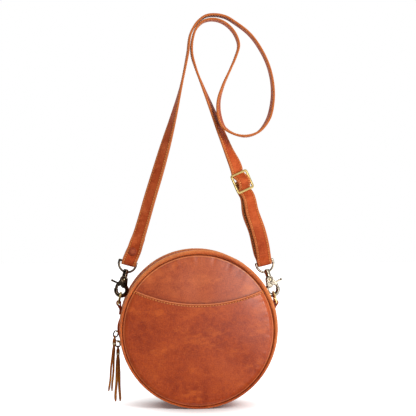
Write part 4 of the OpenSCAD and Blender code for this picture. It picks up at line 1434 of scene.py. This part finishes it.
def build_d_ring(side):
    name = "d_ring_right" if side > 0 else "d_ring_left"
    bar = RING_BARS[side]
    tilt = -side * DRING_TILT
    up = np.array([sind(tilt), 0, cosd(tilt)])
    turn = (DRING_W + DRING_WIRE) / 2
    y = np.array([0, 1.0, 0])
    leg = DRING_LEG * up
    foot = [bar - turn * y + leg, bar - turn * y, bar + turn * y, bar + turn * y + leg]
    corners = rounded_path(foot, [0, 1.6, 1.6, 0], loop=False)
    arc = [bar + leg + turn * (cosd(a) * y + sind(a) * up) for a in np.linspace(0, 180, 33)]
    path = spaced(np.array([*corners[:-1], *arc]), 0.6)
    normal = np.cross(y, up)
    obj = loft(name, wire(path, normal, DRING_WIRE / 2, True, 16), loop=True)
    return dress(obj, ring_metal(), "ring_metal", name, name)


# Hooks, cast from the frame's own shapes, darkened through their mark tone: the left one more than the right
# one, painted shade for the darker reflections on that side. Places on a trigger are distances from its pin,
# outward and down.
HOOK_DARKENING = {-1: -0.85, 1: -0.6}
GATE_COURSE = [(4.6, 4.9), (6.0, 6.9), (6.9, 9.2), (7.1, 13.0)]
BRIDGE_AT = (5.7, 8.2)
THUMB_AT = (14.35, 4.34)
TIP_AT = (5.2, 7.6)
TIP_R = 1.9
BOSS_R = 4.3
KNOB = [(0, -1.5), (0.9, -1.35), (1.45, -0.7), (1.55, 0), (1.45, 0.7), (0.9, 1.35), (0, 1.5)]
DISH = [
    (0, 0), (4.1, 0), (4.25, 0.5), (4.2, 1.1), (3.8, 1.35), (3.2, 1.3), (2.9, 1.0), (2.4, 0.85), (0, 0.85),
]


def trigger_plate():
    """Outline of a trigger's side plate: round the pin and, smaller, round its tip."""
    toward = math.degrees(math.atan2(TIP_AT[1], TIP_AT[0]))
    open_by = math.degrees(math.acos((BOSS_R - TIP_R) / math.hypot(*TIP_AT)))
    outline = []
    for a in np.linspace(toward + open_by, toward + 360 - open_by, 30):
        outline.append(BOSS_R * np.array([cosd(a), sind(a)]))
    for a in np.linspace(toward - open_by, toward + open_by, 14):
        outline.append(np.array(TIP_AT) + TIP_R * np.array([cosd(a), sind(a)]))
    return outline


def trigger_parts(side, pivot, half):
    """A trigger's thumb knob, gate, side plates with their bosses, and the bridge between the plates."""
    down = unit(pivot - EYES[side])
    outward = np.array([float(side), 0.0, 0.0])
    outward = unit(outward - (outward @ down) * down)

    def place(at):
        return pivot + at[0] * outward + at[1] * down

    parts = [loft("knob", lathe(KNOB, place(THUMB_AT), [0, 1, 0], 20))]
    path = smoothed(spaced(np.array([place(at) for at in GATE_COURSE]), 0.4, False), 4)
    girth = np.interp(np.linspace(0, 1, len(path)), [0, 0.35, 0.9, 1], [1.2, 1.9, 1.9, 1.7])
    parts.append(loft("gate", thickened(wire(path, [0, 1, 0], 1.0, sides=16), path, girth)))
    for face in (-1, 1):
        out = np.array([0.0, face, 0.0])
        cheek = slab(trigger_plate(), half + 0.15, half + 1.0, 0.3, lambda u, v, w: place((u, v)) + w * out)
        parts.append(loft("cheek", cheek))
        parts.append(loft("boss", lathe(DISH, pivot + (half + 0.15) * out, out, 40)))
    across = np.linspace(-half - 0.6, half + 0.6, 12)[:, None] * np.array([0, 1.0, 0])
    parts.append(loft("bridge", wire(place(BRIDGE_AT) + across, [1, 0, 0], 1.5)))
    return parts


def build_hook(side):
    word = "right" if side > 0 else "left"
    nodes = frame["nodes"]
    darkening = HOOK_DARKENING[side]
    pin_low, pin_high = node_box(f"trigger_pin_{word}")
    pivot = (pin_low + pin_high) / 2
    half = (pin_high[1] - pin_low[1]) / 2 - PIN_HEAD_T + 0.6
    eye = cast(f"swivel_eye_{word}", nodes[f"swivel_eye_{word}"], 0.22, 4, 0.28)
    hook = cast(f"hook_{word}", nodes[f"hook_{word}"], 0.22, 5, 0.6)
    if side < 0:
        # Painted reflection on the left eye: dark on its left side and as bright as the plate on its right
        off = np.array([v.co.x for v in eye.data.vertices]) / MM - EYES[side][0]
        set_tone(eye, darkening * (1 - smooth(1.0, 6.0, off)))
    else:
        set_tone(eye, darkening)
    set_tone(hook, darkening)
    dress(eye, dark_brass(), "antique_brass", "strap", f"swivel_eye_{word}")
    dress(hook, dark_brass(), "antique_brass", f"hook_{word}", f"hook_{word}")
    parts = trigger_parts(side, pivot, half)
    trigger = cast(f"trigger_{word}", nodes[f"trigger_{word}"], 0.16, 4, 0.12, parts)
    set_tone(trigger, darkening)
    dress(trigger, dark_brass(), "antique_brass", f"trigger_{word}", f"trigger_{word}")
    end = half + 1.5
    profile = [
        (0, -end - 0.35), (1.0, -end - 0.28), (1.6, -end + 0.1), (1.6, -end + 0.45), (0.98, -end + 0.5),
        (0.98, end - 0.5), (1.6, end - 0.45), (1.6, end - 0.1), (1.0, end + 0.28), (0, end + 0.35),
    ]
    pin = loft(f"trigger_pin_{word}", lathe(profile, pivot, [0, 1, 0]))
    dress(pin, pale_brass(), "buckle_brass", f"hook_{word}", f"trigger_pin_{word}")


# Strap. Its route repeats the frame's: shares of the eyes' distance, of its width and of its height,
# with the turn of its width from edge-on, in degrees.
LEFT_LEG_SHARES = [
    (-0.494, 0, -0.828, 55), (-0.4528, 0, -0.745, 54), (-0.3965, 0, -0.639, 51),
    (-0.342, 0, -0.533, 42), (-0.2738, 0, -0.395, 20), (-0.2153, 0, -0.260, 1),
    (-0.172, 0, -0.136, 2),
]
OUTER_PASS_SHARES = [
    (-0.145, 0, -0.046, 0), (-0.090, 0, 0.000, 0), (-0.040, 0, 0.0195, 0), (0.030, 0, 0.0245, 0),
    (0.102, 0, 0.017, 0), (0.182, 0, -0.009, 0), (0.282, 0, -0.053, 0),
]
HANGING_LOOP_SHARES = [
    (0.367, 0, -0.118, 0), (0.427, 0, -0.192, 0), (0.454, -0.05, -0.270, 2),
    (0.451, -0.12, -0.338, 5), (0.414, -0.25, -0.414, 7), (0.338, -0.40, -0.465, 0),
    (0.250, -0.50, -0.480, -8), (0.160, -0.50, -0.470, -15), (0.090, -0.45, -0.443, -18),
    (0.060, -0.38, -0.400, -18), (0.053, -0.28, -0.343, -14), (0.086, -0.15, -0.272, -7),
    (0.139, -0.05, -0.204, -2), (0.181, 0, -0.148, 0),
]
INNER_PASS_SHARES = [
    (0.203, 0, -0.100, 0), (0.180, 0, -0.058, 0), (0.130, 0, -0.022, 0), (0.066, 0, 0.000, 0),
    (0, 0, 0.0055, 0), (-0.058, 0, -0.003, 0), (-0.105, 0, -0.028, 0), (-0.136, 0, -0.076, 0),
]
RIGHT_LEG_SHARES = [
    (-0.141, 0, -0.138, 0), (-0.1166, 0, -0.190, -3), (-0.0613, 0, -0.272, -10),
    (0.000, 0, -0.357, -20), (0.064, 0, -0.448, -32), (0.126, 0, -0.534, -42),
]
LOWER_LEG_SHARES = [(0.306, 0, -0.799, -72), (0.351, 0, -0.874, -84)]
EYE_SPAN = EYES[1][0] - EYES[-1][0]
HANG_H = -EYES[-1][2]
FOLD_TILTS = {-1: 15.0, 1: -14.0}
LAP_LEAN = 8.0
RIGHT_LEAN = 4.0
LAP_YAWS = [88.0, 80.0, 70.0, 60.0]
LAP_SHARES = [0.28, 0.5, 0.75, 1.0]
LAP_SHIFTS = {"front": [2.6, 3.0, 2.2, 1.0], "back": [2.0, 2.2, 1.0, -0.6]}
TURN_SHIFT = 1.5
CAP_SHIFT = 1.8
RIGHT_SHIFTS = {"front": [-1.0, -1.0, -0.8], "back": [2.4, 1.6, 0.4]}
RIGHT_LAP_L = 20.0
RIGHT_YAW = -88.0
FOLD_RISE_SHARES = [0.9, 0.55, 0.3]
FOLD_PLAY = 0.6
BACK_SAG = 3.0
BUCKLE_YAW = -62.0
WRAP_FROM = 264.0
WRAP_STEP = 12.0
WRAP_TAIL = 10.0
TURN_R = EYE_WIRE / 2 + FOLD_PLAY + STRAP_T / 2
LAYER_OFF = (STRAP_T + SEAT_GAP) / 2
RAIL_Y = BUCKLE_H / 2 - BAR_W / 2
WRAP_IN = BAR_W / 2 + TOUCH_GAP
PASS_T = 2.3
BAR_CLEAR = BAR_W / 2 + TOUCH_GAP + PASS_T / 2
WRAP_CLEAR = WRAP_IN + END_T + TOUCH_GAP + PASS_T / 2
WEAVE = math.degrees(math.asin((BAR_CLEAR + WRAP_CLEAR) / RAIL_Y))
LEG_TILT = math.degrees(math.atan(LEG_ALONG[0] / LEG_ALONG[2]))
HUMP_END = RAIL_Y + STRAP_T * 1.7


def width_hint(yaw, tilt):
    return np.array([sind(yaw) * cosd(tilt), -cosd(yaw), -sind(yaw) * sind(tilt)])


def square_to(hint, along):
    return unit(hint - (hint @ along) * along)


LEG_ACROSS = width_hint(BUCKLE_YAW, LEG_TILT)
LEG_OUT = np.cross(LEG_ACROSS, LEG_ALONG)


def spot(place, yaw, tilt, thick):
    return np.array([*place, yaw, tilt, thick])


def routed(shares, tilt, thick=LOOP_T):
    return [spot((x * EYE_SPAN, y * STRAP_W, z * HANG_H), yaw, tilt, thick) for x, y, z, yaw in shares]


def fold_up(tilt):
    return np.array([sind(tilt), 0, cosd(tilt)])


def lap_spot(eye, tilt, yaw, rise, off, shift):
    up = fold_up(tilt)
    width = square_to(width_hint(yaw, tilt), up)
    return spot(eye + rise * up + off * np.cross(width, up) + shift * width, yaw, tilt, STRAP_T)


def turn_spot(eye, tilt, yaw, at, shift=0.0):
    place = eye + TURN_R * (cosd(at) * np.array([0, 1.0, 0]) - sind(at) * fold_up(tilt))
    return spot(place + shift * width_hint(yaw, tilt), yaw, tilt, STRAP_T)


def in_leg(y, z, thick):
    return spot(BUCKLE_AT + y * LEG_ALONG + z * LEG_OUT, BUCKLE_YAW, LEG_TILT, thick)


def left_lap(k, off, layer):
    tilt = FOLD_TILTS[-1] + LAP_LEAN * LAP_SHARES[k]
    return lap_spot(EYES[-1], tilt, LAP_YAWS[k], LAP_SHARES[k] * LAP_L, off, LAP_SHIFTS[layer][k])


def right_lap(k, off, layer):
    tilt = FOLD_TILTS[1] + RIGHT_LEAN * FOLD_RISE_SHARES[k]
    rise = FOLD_RISE_SHARES[k] * RIGHT_LAP_L
    return lap_spot(EYES[1], tilt, RIGHT_YAW, rise, off, RIGHT_SHIFTS[layer][k])


def behind(shares, out):
    here = routed([shares], LEG_TILT, STRAP_T)[0]
    place = here[:3] - out * np.cross(width_hint(here[3], LEG_TILT), LEG_ALONG) - np.array([BACK_SAG, 0, 0])
    return np.array([*place, *here[3:]])


def past_rail(side):
    return in_leg(side * (RAIL_Y - BAR_CLEAR * sind(WEAVE)), -BAR_CLEAR * cosd(WEAVE), PASS_T)


def past_wrap(side):
    return in_leg(side * WRAP_CLEAR * sind(WEAVE), WRAP_CLEAR * cosd(WEAVE), PASS_T)


def strap_route():
    """The strap's own points in order, and where its stretches begin."""
    left_fold = [left_lap(k, -LAYER_OFF - 3 * TOUCH_GAP, "back") for k in (3, 2, 1, 0)]
    left_fold += [turn_spot(EYES[-1], FOLD_TILTS[-1], 90, at, TURN_SHIFT) for at in (0, 45, 90, 135, 180)]
    left_fold += [left_lap(k, LAYER_OFF, "front") for k in range(4)]
    legs = routed(LEFT_LEG_SHARES, FOLD_TILTS[-1])
    for shares in (OUTER_PASS_SHARES, HANGING_LOOP_SHARES, INNER_PASS_SHARES):
        legs += routed(shares, 0)
    legs += routed(RIGHT_LEG_SHARES, LEG_TILT)
    buckle_pass = [
        in_leg(-HUMP_END, -STRAP_T / 4, STRAP_T), in_leg(-RAIL_Y, -BAR_CLEAR, PASS_T), past_rail(-1),
        past_wrap(-1), in_leg(0, WRAP_CLEAR, PASS_T), past_wrap(1),
        past_rail(1), in_leg(RAIL_Y, -BAR_CLEAR, PASS_T), in_leg(HUMP_END, -STRAP_T / 4, STRAP_T),
    ]
    right_fold = [right_lap(k, -LAYER_OFF, "front") for k in range(3)]
    right_fold += [turn_spot(EYES[1], FOLD_TILTS[1], -90, at) for at in (180, 135, 90, 45, 0)]
    right_fold += [right_lap(k, LAYER_OFF, "back") for k in (2, 1, 0)]
    foot = END_T / 2 * sind(WRAP_TAIL) + WRAP_IN
    back_layer = [
        behind(LOWER_LEG_SHARES[1], 1.35 * STRAP_T), behind(LOWER_LEG_SHARES[0], 1.4 * STRAP_T),
        in_leg(HUMP_END, -1.7 * STRAP_T, STRAP_T),
        in_leg(RAIL_Y, -BAR_CLEAR - STRAP_T - 2 * SEAT_GAP, STRAP_T * 0.9),
        in_leg(RAIL_Y / 2, -BAR_CLEAR - END_T / 2 - SEAT_GAP, END_T),
        in_leg(foot, -WRAP_IN - END_T / 2, END_T),
    ]
    lower = routed(LOWER_LEG_SHARES, LEG_TILT, STRAP_T)
    points = [*left_fold, *legs, *buckle_pass, *lower, *right_fold, *back_layer]
    main_end = len(left_fold) + len(legs) - 1
    pass_end = main_end + len(buckle_pass)
    fold_start = pass_end + len(LOWER_LEG_SHARES) + 1
    return np.array(points), main_end, pass_end, fold_start


ROUTE_STEPS = 8


def fine_route(points):
    """The route smoothed as in the frame, with more points between."""
    runs = np.linalg.norm(np.diff(points[:, :3], axis=0), axis=1)
    last = len(points) - 1

    def slope(i):
        if i == 0:
            return (points[1] - points[0]) / runs[0]
        if i == last:
            return (points[i] - points[i - 1]) / runs[i - 1]
        p, q = runs[i - 1], runs[i]
        return ((points[i] - points[i - 1]) * q / p + (points[i + 1] - points[i]) * p / q) / (p + q)

    fine = []
    for i in range(last):
        for s in np.arange(ROUTE_STEPS) / ROUTE_STEPS:
            hold = s * s * (3 - 2 * s)
            bend = slope(i) * s * (1 - s) ** 2 - slope(i + 1) * s * s * (1 - s)
            fine.append(points[i] * (1 - hold) + points[i + 1] * hold + runs[i] * bend)
    fine.append(points[last])
    return np.array(fine)


def end_wrap():
    """The strap's thinned end round the buckle's middle bar."""
    radius = WRAP_IN + END_T / 2
    turns = np.arange(WRAP_FROM, WRAP_TAIL + 29, -WRAP_STEP)
    return np.array([in_leg(radius * cosd(a), radius * sind(a), END_T) for a in turns])


def strap_section(thick):
    """Section of the strap at one thickness: flat back, slightly full grain side, pressed stitch lines."""
    points, mask = strip_section(STRAP_W, thick, 27, 5, 0.4)
    grain = points[:, 1] > thick * 0.49
    middle = 1 - (points[:, 0] / (STRAP_W / 2)) ** 2
    from_edge = STRAP_W / 2 - np.abs(points[:, 0])
    press = near(from_edge, STITCH_IN, 0.5)
    points[:, 1] += np.where(grain, 0.18 * middle - 0.28 * press, 0)
    back = points[:, 1] < -thick * 0.49
    points[:, 1] += np.where(back, 0.22 * press, 0)
    outside = smooth(-STITCH_IN, 0.9 - STITCH_IN, -from_edge)
    dark = near(from_edge, STITCH_IN + 0.2, 0.9)
    seam = 0.6 * near(points[:, 1], 0, thick * 0.16)
    tone = np.where(grain | back, 0.3 * outside - 0.5 * dark, 0.1 - seam)
    return points, mask, tone, back


def strap_piece(name, fine, first, last, shaded_from):
    """One stretch of the strap, as a mesh and the stitch lines on both of its faces.

    From the point that its last argument gives, its flesh side lies against another layer and is painted
    dark, as painted shade between the layers.
    """
    points = fine[:, :3]
    along = tangents(points)
    width = np.array([square_to(width_hint(p[3], p[4]), a) for p, a in zip(fine, along)])
    out = np.cross(width, along)
    cut = slice(first, last + 1)
    shapes = {}
    sections = []
    masks = []
    tones = []
    for index in range(first, last + 1):
        key = round(float(fine[index, 5]), 3)
        if key not in shapes:
            shapes[key] = strap_section(key)
        section, mask, tone, flesh = shapes[key]
        sections.append(section)
        masks.append(mask)
        # Painted shade on the flesh side that faces the other layer
        tones.append(np.where(flesh, -0.9, tone) if index >= shaded_from else tone)
    rings = sweep(points[cut], width[cut], out[cut], np.array(sections))
    obj = loft(name, rings, marks={"edge": np.array(masks), "tone": np.array(tones)}, sharp=45)
    lines = []
    rises = []
    for face in (1, -1):
        for side in (-1, 1):
            offset = side * (STRAP_W / 2 - STITCH_IN)
            lift = (fine[cut, 5:6] / 2 - 0.22) * face
            lines.append(points[cut] + offset * width[cut] + lift * out[cut])
            rises.append(face * out[cut])
    return obj, lines, rises


def build_strap():
    route, main_end, pass_end, fold_start = strap_route()
    fine = np.concatenate([fine_route(route)[:-1], end_wrap()])
    main_last = main_end * ROUTE_STEPS
    pass_last = pass_end * ROUTE_STEPS
    pieces = (
        ("strap_main", 0, main_last, ["strap_main"], None),
        (
            "strap_buckle_pass", main_last, pass_last, ["strap_above_buckle", "strap_in_buckle"],
            ("strap", "adjuster", route[main_end], route[main_end + 1]),
        ),
        (
            "strap_lower", pass_last, len(fine) - 1,
            ["strap_lower_front", "strap_fold_right", "strap_lower_back", "strap_end_loop"],
            ("adjuster", "strap", route[pass_end], route[fold_start]),
        ),
    )
    for name, first, last, nodes, join_at in pieces:
        obj, lines, rises = strap_piece(name, fine, first, last, fold_start * ROUTE_STEPS)
        body = None if join_at else "strap"
        dress(obj, strap_leather(), "strap_leather", body, *nodes)
        rows = stitches(f"{name}_stitches", lines, rises, light_thread(), -0.15, 11, 3.15)
        dress(rows, light_thread(), "strap_leather", body)
        if join_at:
            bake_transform(obj)
            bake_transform(rows)


CAP_SHARE = 0.42
CAP_YAW = 84.0


def build_cap():
    """The leather-covered cap on the left fold, on its post through both layers."""
    tilt = FOLD_TILTS[-1] + LAP_LEAN * CAP_SHARE
    up = fold_up(tilt)
    width = width_hint(CAP_YAW, tilt)
    out = np.cross(width, up)
    at = EYES[-1] + CAP_SHARE * LAP_L * up + CAP_SHIFT * width
    half = LAYER_OFF + STRAP_T / 2 + 2.5 * TOUCH_GAP
    radius = CAP_D / 2
    back = CAP_D * 0.4
    post = CAP_D / 8
    profile = [
        (0, -half - 1.3), (back * 0.7, -half - 1.1), (back, -half - 0.5), (back, -half + 0.1),
        (post, -half + 0.12), (post, half - 0.12), (radius, half - 0.1), (radius, half + 0.45),
        (radius * 0.95, half + 0.85), (radius * 0.86, half + 1.0), (radius * 0.8, half + 0.93),
        (radius * 0.6, half + 1.2), (radius * 0.3, half + 1.4), (0, half + 1.45),
    ]
    # Painted shade on the sides of the back and the head and in the dip round the top, and a little painted
    # light on the top
    tones = [0, 0, -0.6, -0.6, 0, 0, -0.9, -0.8, -0.1, 0.1, -0.6, 0, 0.1, 0.1]
    rings = lathe(profile, at, out, 40)
    obj = loft("strap_cap", rings, marks={"tone": ring_marks(tones, rings)}, sharp=60)
    return dress(obj, cap_leather(), "cap_leather", "strap", "strap_cap")


def build_buckle():
    """A rounded frame of flattened wire with a middle bar."""
    half_w = BUCKLE_W / 2 + BAR_W / 2

    def place(x, y):
        return BUCKLE_AT + x * LEG_ACROSS + y * LEG_ALONG

    spots = ((-half_w, -RAIL_Y), (half_w, -RAIL_Y), (half_w, RAIL_Y), (-half_w, RAIL_Y))
    corners = [place(x, y) for x, y in spots]
    outline = spaced(rounded_path(corners, [BUCKLE_CORNER] * 4, steps=11), 0.5)
    rim = loft("rim", wire(outline, LEG_OUT, BAR_W / 2, True, 20, BUCKLE_FLAT), loop=True)
    bar_path = np.array([place(x, 0) for x in np.linspace(-half_w, half_w, 20)])
    bar = loft("bar", wire(bar_path, LEG_OUT, BAR_W / 2 * 0.92, sides=16))
    whole = join([rim, bar], "buckle")
    tidy_mesh(whole.data, 40)
    return dress(whole, buckle_brass(), "buckle_brass", "adjuster", "buckle")


# Stage
CAMERA_AT = (-0.1155, -1.5961, -0.2404)
CAMERA_TURN = -4.0
CAMERA_FIELD = 18.97
IMAGE_SIDE = 416
MIDDLE = (0.0, 0.0, -0.3)
FLOOR_HALF = 4.0
GLOW_FROM = 0.045
GLOW_TO = 0.11
CARD_LEFT = -0.75
CARD_FRONT = -0.5
CARD_TOP = 0.6


def board(name, corners):
    """A flat sheet between four corners, in metres."""
    mesh = bpy.data.meshes.new(name)
    mesh.from_pydata(corners, [], [(0, 1, 2, 3)])
    obj = bpy.data.objects.new(name, mesh)
    bpy.context.scene.collection.objects.link(obj)
    return obj


def seen_directly(tree):
    """1 for camera, mirror and glass rays, which see the plain white around the bag."""
    path = node(tree, "ShaderNodeLightPath")
    most = sum_of(tree, "MAXIMUM", path.outputs["Is Camera Ray"], path.outputs["Is Glossy Ray"])
    return sum_of(tree, "MAXIMUM", most, path.outputs["Is Transmission Ray"])


def build_world():
    world = bpy.data.worlds.new("White room")
    world.use_nodes = True
    bpy.context.scene.world = world
    tree = world.node_tree
    background = tree.nodes["Background"]
    background.inputs["Color"].default_value = (1, 1, 1, 1)
    tree.links.new(spread(tree, seen_directly(tree), 0, 1, 0.5, 1.0), background.inputs["Strength"])


def build_floor():
    """White paper under the bag, which glows to plain white away from the bag's foot."""
    low = (BAG[2] - BAG_R) * MM - 0.0001
    sides = ((-1, -1), (1, -1), (1, 1), (-1, 1))
    floor = board("Floor", [(x * FLOOR_HALF, y * FLOOR_HALF, low) for x, y in sides])
    material, tree, shader = blank_material("Floor paper")
    shader.inputs["Base Color"].default_value = (0.9, 0.9, 0.9, 1)
    shader.inputs["Roughness"].default_value = 0.9
    shader.inputs["Specular IOR Level"].default_value = 0.1
    shader.inputs["Emission Color"].default_value = (1, 1, 1, 1)
    foot = {0: object_place(tree), 1: (BAG[0] * MM, 0, low)}
    from_bag = node(tree, "ShaderNodeVectorMath", foot, operation="DISTANCE").outputs["Value"]
    glow = spread(tree, from_bag, GLOW_FROM, GLOW_TO, 0.04, 0.9)
    tree.links.new(sum_of(tree, "MULTIPLY", seen_directly(tree), glow), shader.inputs["Emission Strength"])
    floor.data.materials.append(material)


def dark_card(name, corners):
    """A dim board that only shows in reflections, on the side from which the bag looks deeper."""
    card = board(name, corners)
    card.visible_camera = False
    card.visible_diffuse = False
    card.visible_shadow = False
    card.visible_transmission = False
    material, _, shader = blank_material(name)
    shader.inputs["Base Color"].default_value = (0.02, 0.02, 0.02, 1)
    shader.inputs["Roughness"].default_value = 1.0
    shader.inputs["Specular IOR Level"].default_value = 0.0
    card.data.materials.append(material)


def build_cards():
    low = (BAG[2] - BAG_R) * MM + 0.0005
    front_left = (CARD_LEFT, CARD_FRONT)
    for name, first, last in (
        ("Front card", front_left, (0.12, CARD_FRONT)), ("Side card", (CARD_LEFT, 0.25), front_left),
    ):
        dark_card(name, [(*first, low), (*last, low), (*last, CARD_TOP), (*first, CARD_TOP)])
    under = (front_left, (0.16, CARD_FRONT), (0.16, -0.045), (CARD_LEFT, -0.045))
    dark_card("Floor card", [(*corner, low) for corner in under])


def area_light(name, place, target, size, power, diffuse=True, glossy=True):
    light = bpy.data.lights.new(name, "AREA")
    light.shape = "SQUARE"
    light.size = size
    light.energy = power
    obj = bpy.data.objects.new(name, light)
    obj.location = place
    way = Vector(target) - Vector(place)
    obj.rotation_euler = way.to_track_quat("-Z", "Y").to_euler()
    obj.visible_diffuse = diffuse
    obj.visible_glossy = glossy
    bpy.context.scene.collection.objects.link(obj)


def build_camera():
    data = bpy.data.cameras.new("Camera")
    data.sensor_width = 36.0
    data.angle = math.radians(CAMERA_FIELD)
    camera = bpy.data.objects.new("Camera", data)
    camera.location = CAMERA_AT
    camera.rotation_euler = (math.radians(90), 0, math.radians(CAMERA_TURN))
    bpy.context.scene.collection.objects.link(camera)
    bpy.context.scene.camera = camera
    bpy.context.scene.render.resolution_x = IMAGE_SIDE
    bpy.context.scene.render.resolution_y = IMAGE_SIDE


# Operators, one for each piece or group of like pieces
class BAG_OT_panels(bpy.types.Operator):
    """Front and back panels with their rolled edges and rim stitches"""

    bl_idname = "bag.panels"
    bl_label = "Panels"

    def execute(self, context):
        build_panel("front_panel", -1)
        build_panel("back_panel", 1)
        build_roll("front_roll", -1)
        build_roll("back_roll", 1)
        build_rim_stitches("front_rim_stitches", -1)
        build_rim_stitches("back_rim_stitches", 1)
        return {"FINISHED"}


class BAG_OT_pocket(bpy.types.Operator):
    """Curved slip pocket on the front panel"""

    bl_idname = "bag.pocket"
    bl_label = "Slip pocket"

    def execute(self, context):
        build_pocket()
        return {"FINISHED"}


class BAG_OT_gusset(bpy.types.Operator):
    """Gusset, its side seams and the strips beside the zip"""

    bl_idname = "bag.gusset"
    bl_label = "Gusset"

    def execute(self, context):
        build_gusset()
        return {"FINISHED"}


class BAG_OT_lining(bpy.types.Operator):
    """Cloth on the lining inside the bag"""

    bl_idname = "bag.lining"
    bl_label = "Lining"

    def execute(self, context):
        material = cloth("Lining cloth", tuple(colours().lining), 0.9)
        for name in ("front_lining", "back_lining", "gusset_lining"):
            obj = frame["nodes"][name]
            obj.data.materials.clear()
            obj.data.materials.append(material)
        return {"FINISHED"}


class BAG_OT_zip(bpy.types.Operator):
    """Tapes, teeth and both sliders"""

    bl_idname = "bag.zip"
    bl_label = "Zip"

    def execute(self, context):
        build_zip()
        build_slider("slider_upper", UPPER_AT)
        build_slider("slider_lower", LOWER_AT)
        return {"FINISHED"}


class BAG_OT_pulls(bpy.types.Operator):
    """Pull rings, lace tassels and their rivets"""

    bl_idname = "bag.pulls"
    bl_label = "Pulls"

    def execute(self, context):
        for which in PULLS:
            build_pull(which)
        return {"FINISHED"}


class BAG_OT_side_loops(bpy.types.Operator):
    """Leather loops at both sides and the D rings in them"""

    bl_idname = "bag.side_loops"
    bl_label = "Side loops"

    def execute(self, context):
        for side in (-1, 1):
            build_side_loop(side)
            build_d_ring(side)
        return {"FINISHED"}


class BAG_OT_hooks(bpy.types.Operator):
    """Swivel eyes, hooks, triggers and pins"""

    bl_idname = "bag.hooks"
    bl_label = "Hooks"

    def execute(self, context):
        for side in (-1, 1):
            build_hook(side)
        return {"FINISHED"}


class BAG_OT_strap(bpy.types.Operator):
    """Strap from fold to fold, with its stitches and the cap"""

    bl_idname = "bag.strap"
    bl_label = "Strap"

    def execute(self, context):
        build_strap()
        build_cap()
        return {"FINISHED"}


class BAG_OT_buckle(bpy.types.Operator):
    """Sliding buckle on the right leg"""

    bl_idname = "bag.buckle"
    bl_label = "Buckle"

    def execute(self, context):
        build_buckle()
        return {"FINISHED"}


class BAG_OT_stage(bpy.types.Operator):
    """Camera, lights, white surroundings and floor"""

    bl_idname = "bag.stage"
    bl_label = "Stage"

    def execute(self, context):
        build_world()
        build_floor()
        build_camera()
        area_light("Key", (0.85, -1.05, 0.45), MIDDLE, 0.7, 17.0, glossy=False)
        area_light("Fill", (-1.4, -1.5, 0.2), MIDDLE, 1.4, 1.5)
        area_light("Sheen", (0.33, -0.95, -0.24), (0.05, 0.0, -0.32), 0.24, 3.6, diffuse=False)
        build_cards()
        context.scene.view_settings.view_transform = "Standard"
        return {"FINISHED"}


STEPS = (
    BAG_OT_panels, BAG_OT_pocket, BAG_OT_gusset, BAG_OT_lining, BAG_OT_zip, BAG_OT_pulls, BAG_OT_side_loops,
    BAG_OT_hooks, BAG_OT_strap, BAG_OT_buckle, BAG_OT_stage,
)


class BAG_PT_sidebar(bpy.types.Panel):
    """Sizes, colours and steps of the bag"""

    bl_label = "Round Bag"
    bl_idname = "BAG_PT_sidebar"
    bl_space_type = "VIEW_3D"
    bl_region_type = "UI"
    bl_category = "Round Bag"

    def draw(self, context):
        for group in (context.scene.bag_sizes, context.scene.bag_colours):
            column = self.layout.column(align=True)
            for key in group.__annotations__:
                column.prop(group, key)
        for step in STEPS:
            self.layout.operator(step.bl_idname)


CLASSES = (BagSizes, BagColours, *STEPS, BAG_PT_sidebar)


def register():
    for cls in CLASSES:
        bpy.utils.register_class(cls)
    bpy.types.Scene.bag_sizes = bpy.props.PointerProperty(type=BagSizes)
    bpy.types.Scene.bag_colours = bpy.props.PointerProperty(type=BagColours)


def unregister():
    del bpy.types.Scene.bag_colours
    del bpy.types.Scene.bag_sizes
    for cls in reversed(CLASSES):
        bpy.utils.unregister_class(cls)


def main():
    register()
    for step in STEPS:
        family, word = step.bl_idname.split(".")
        getattr(getattr(bpy.ops, family), word)()


if __name__ == "__main__":
    main()
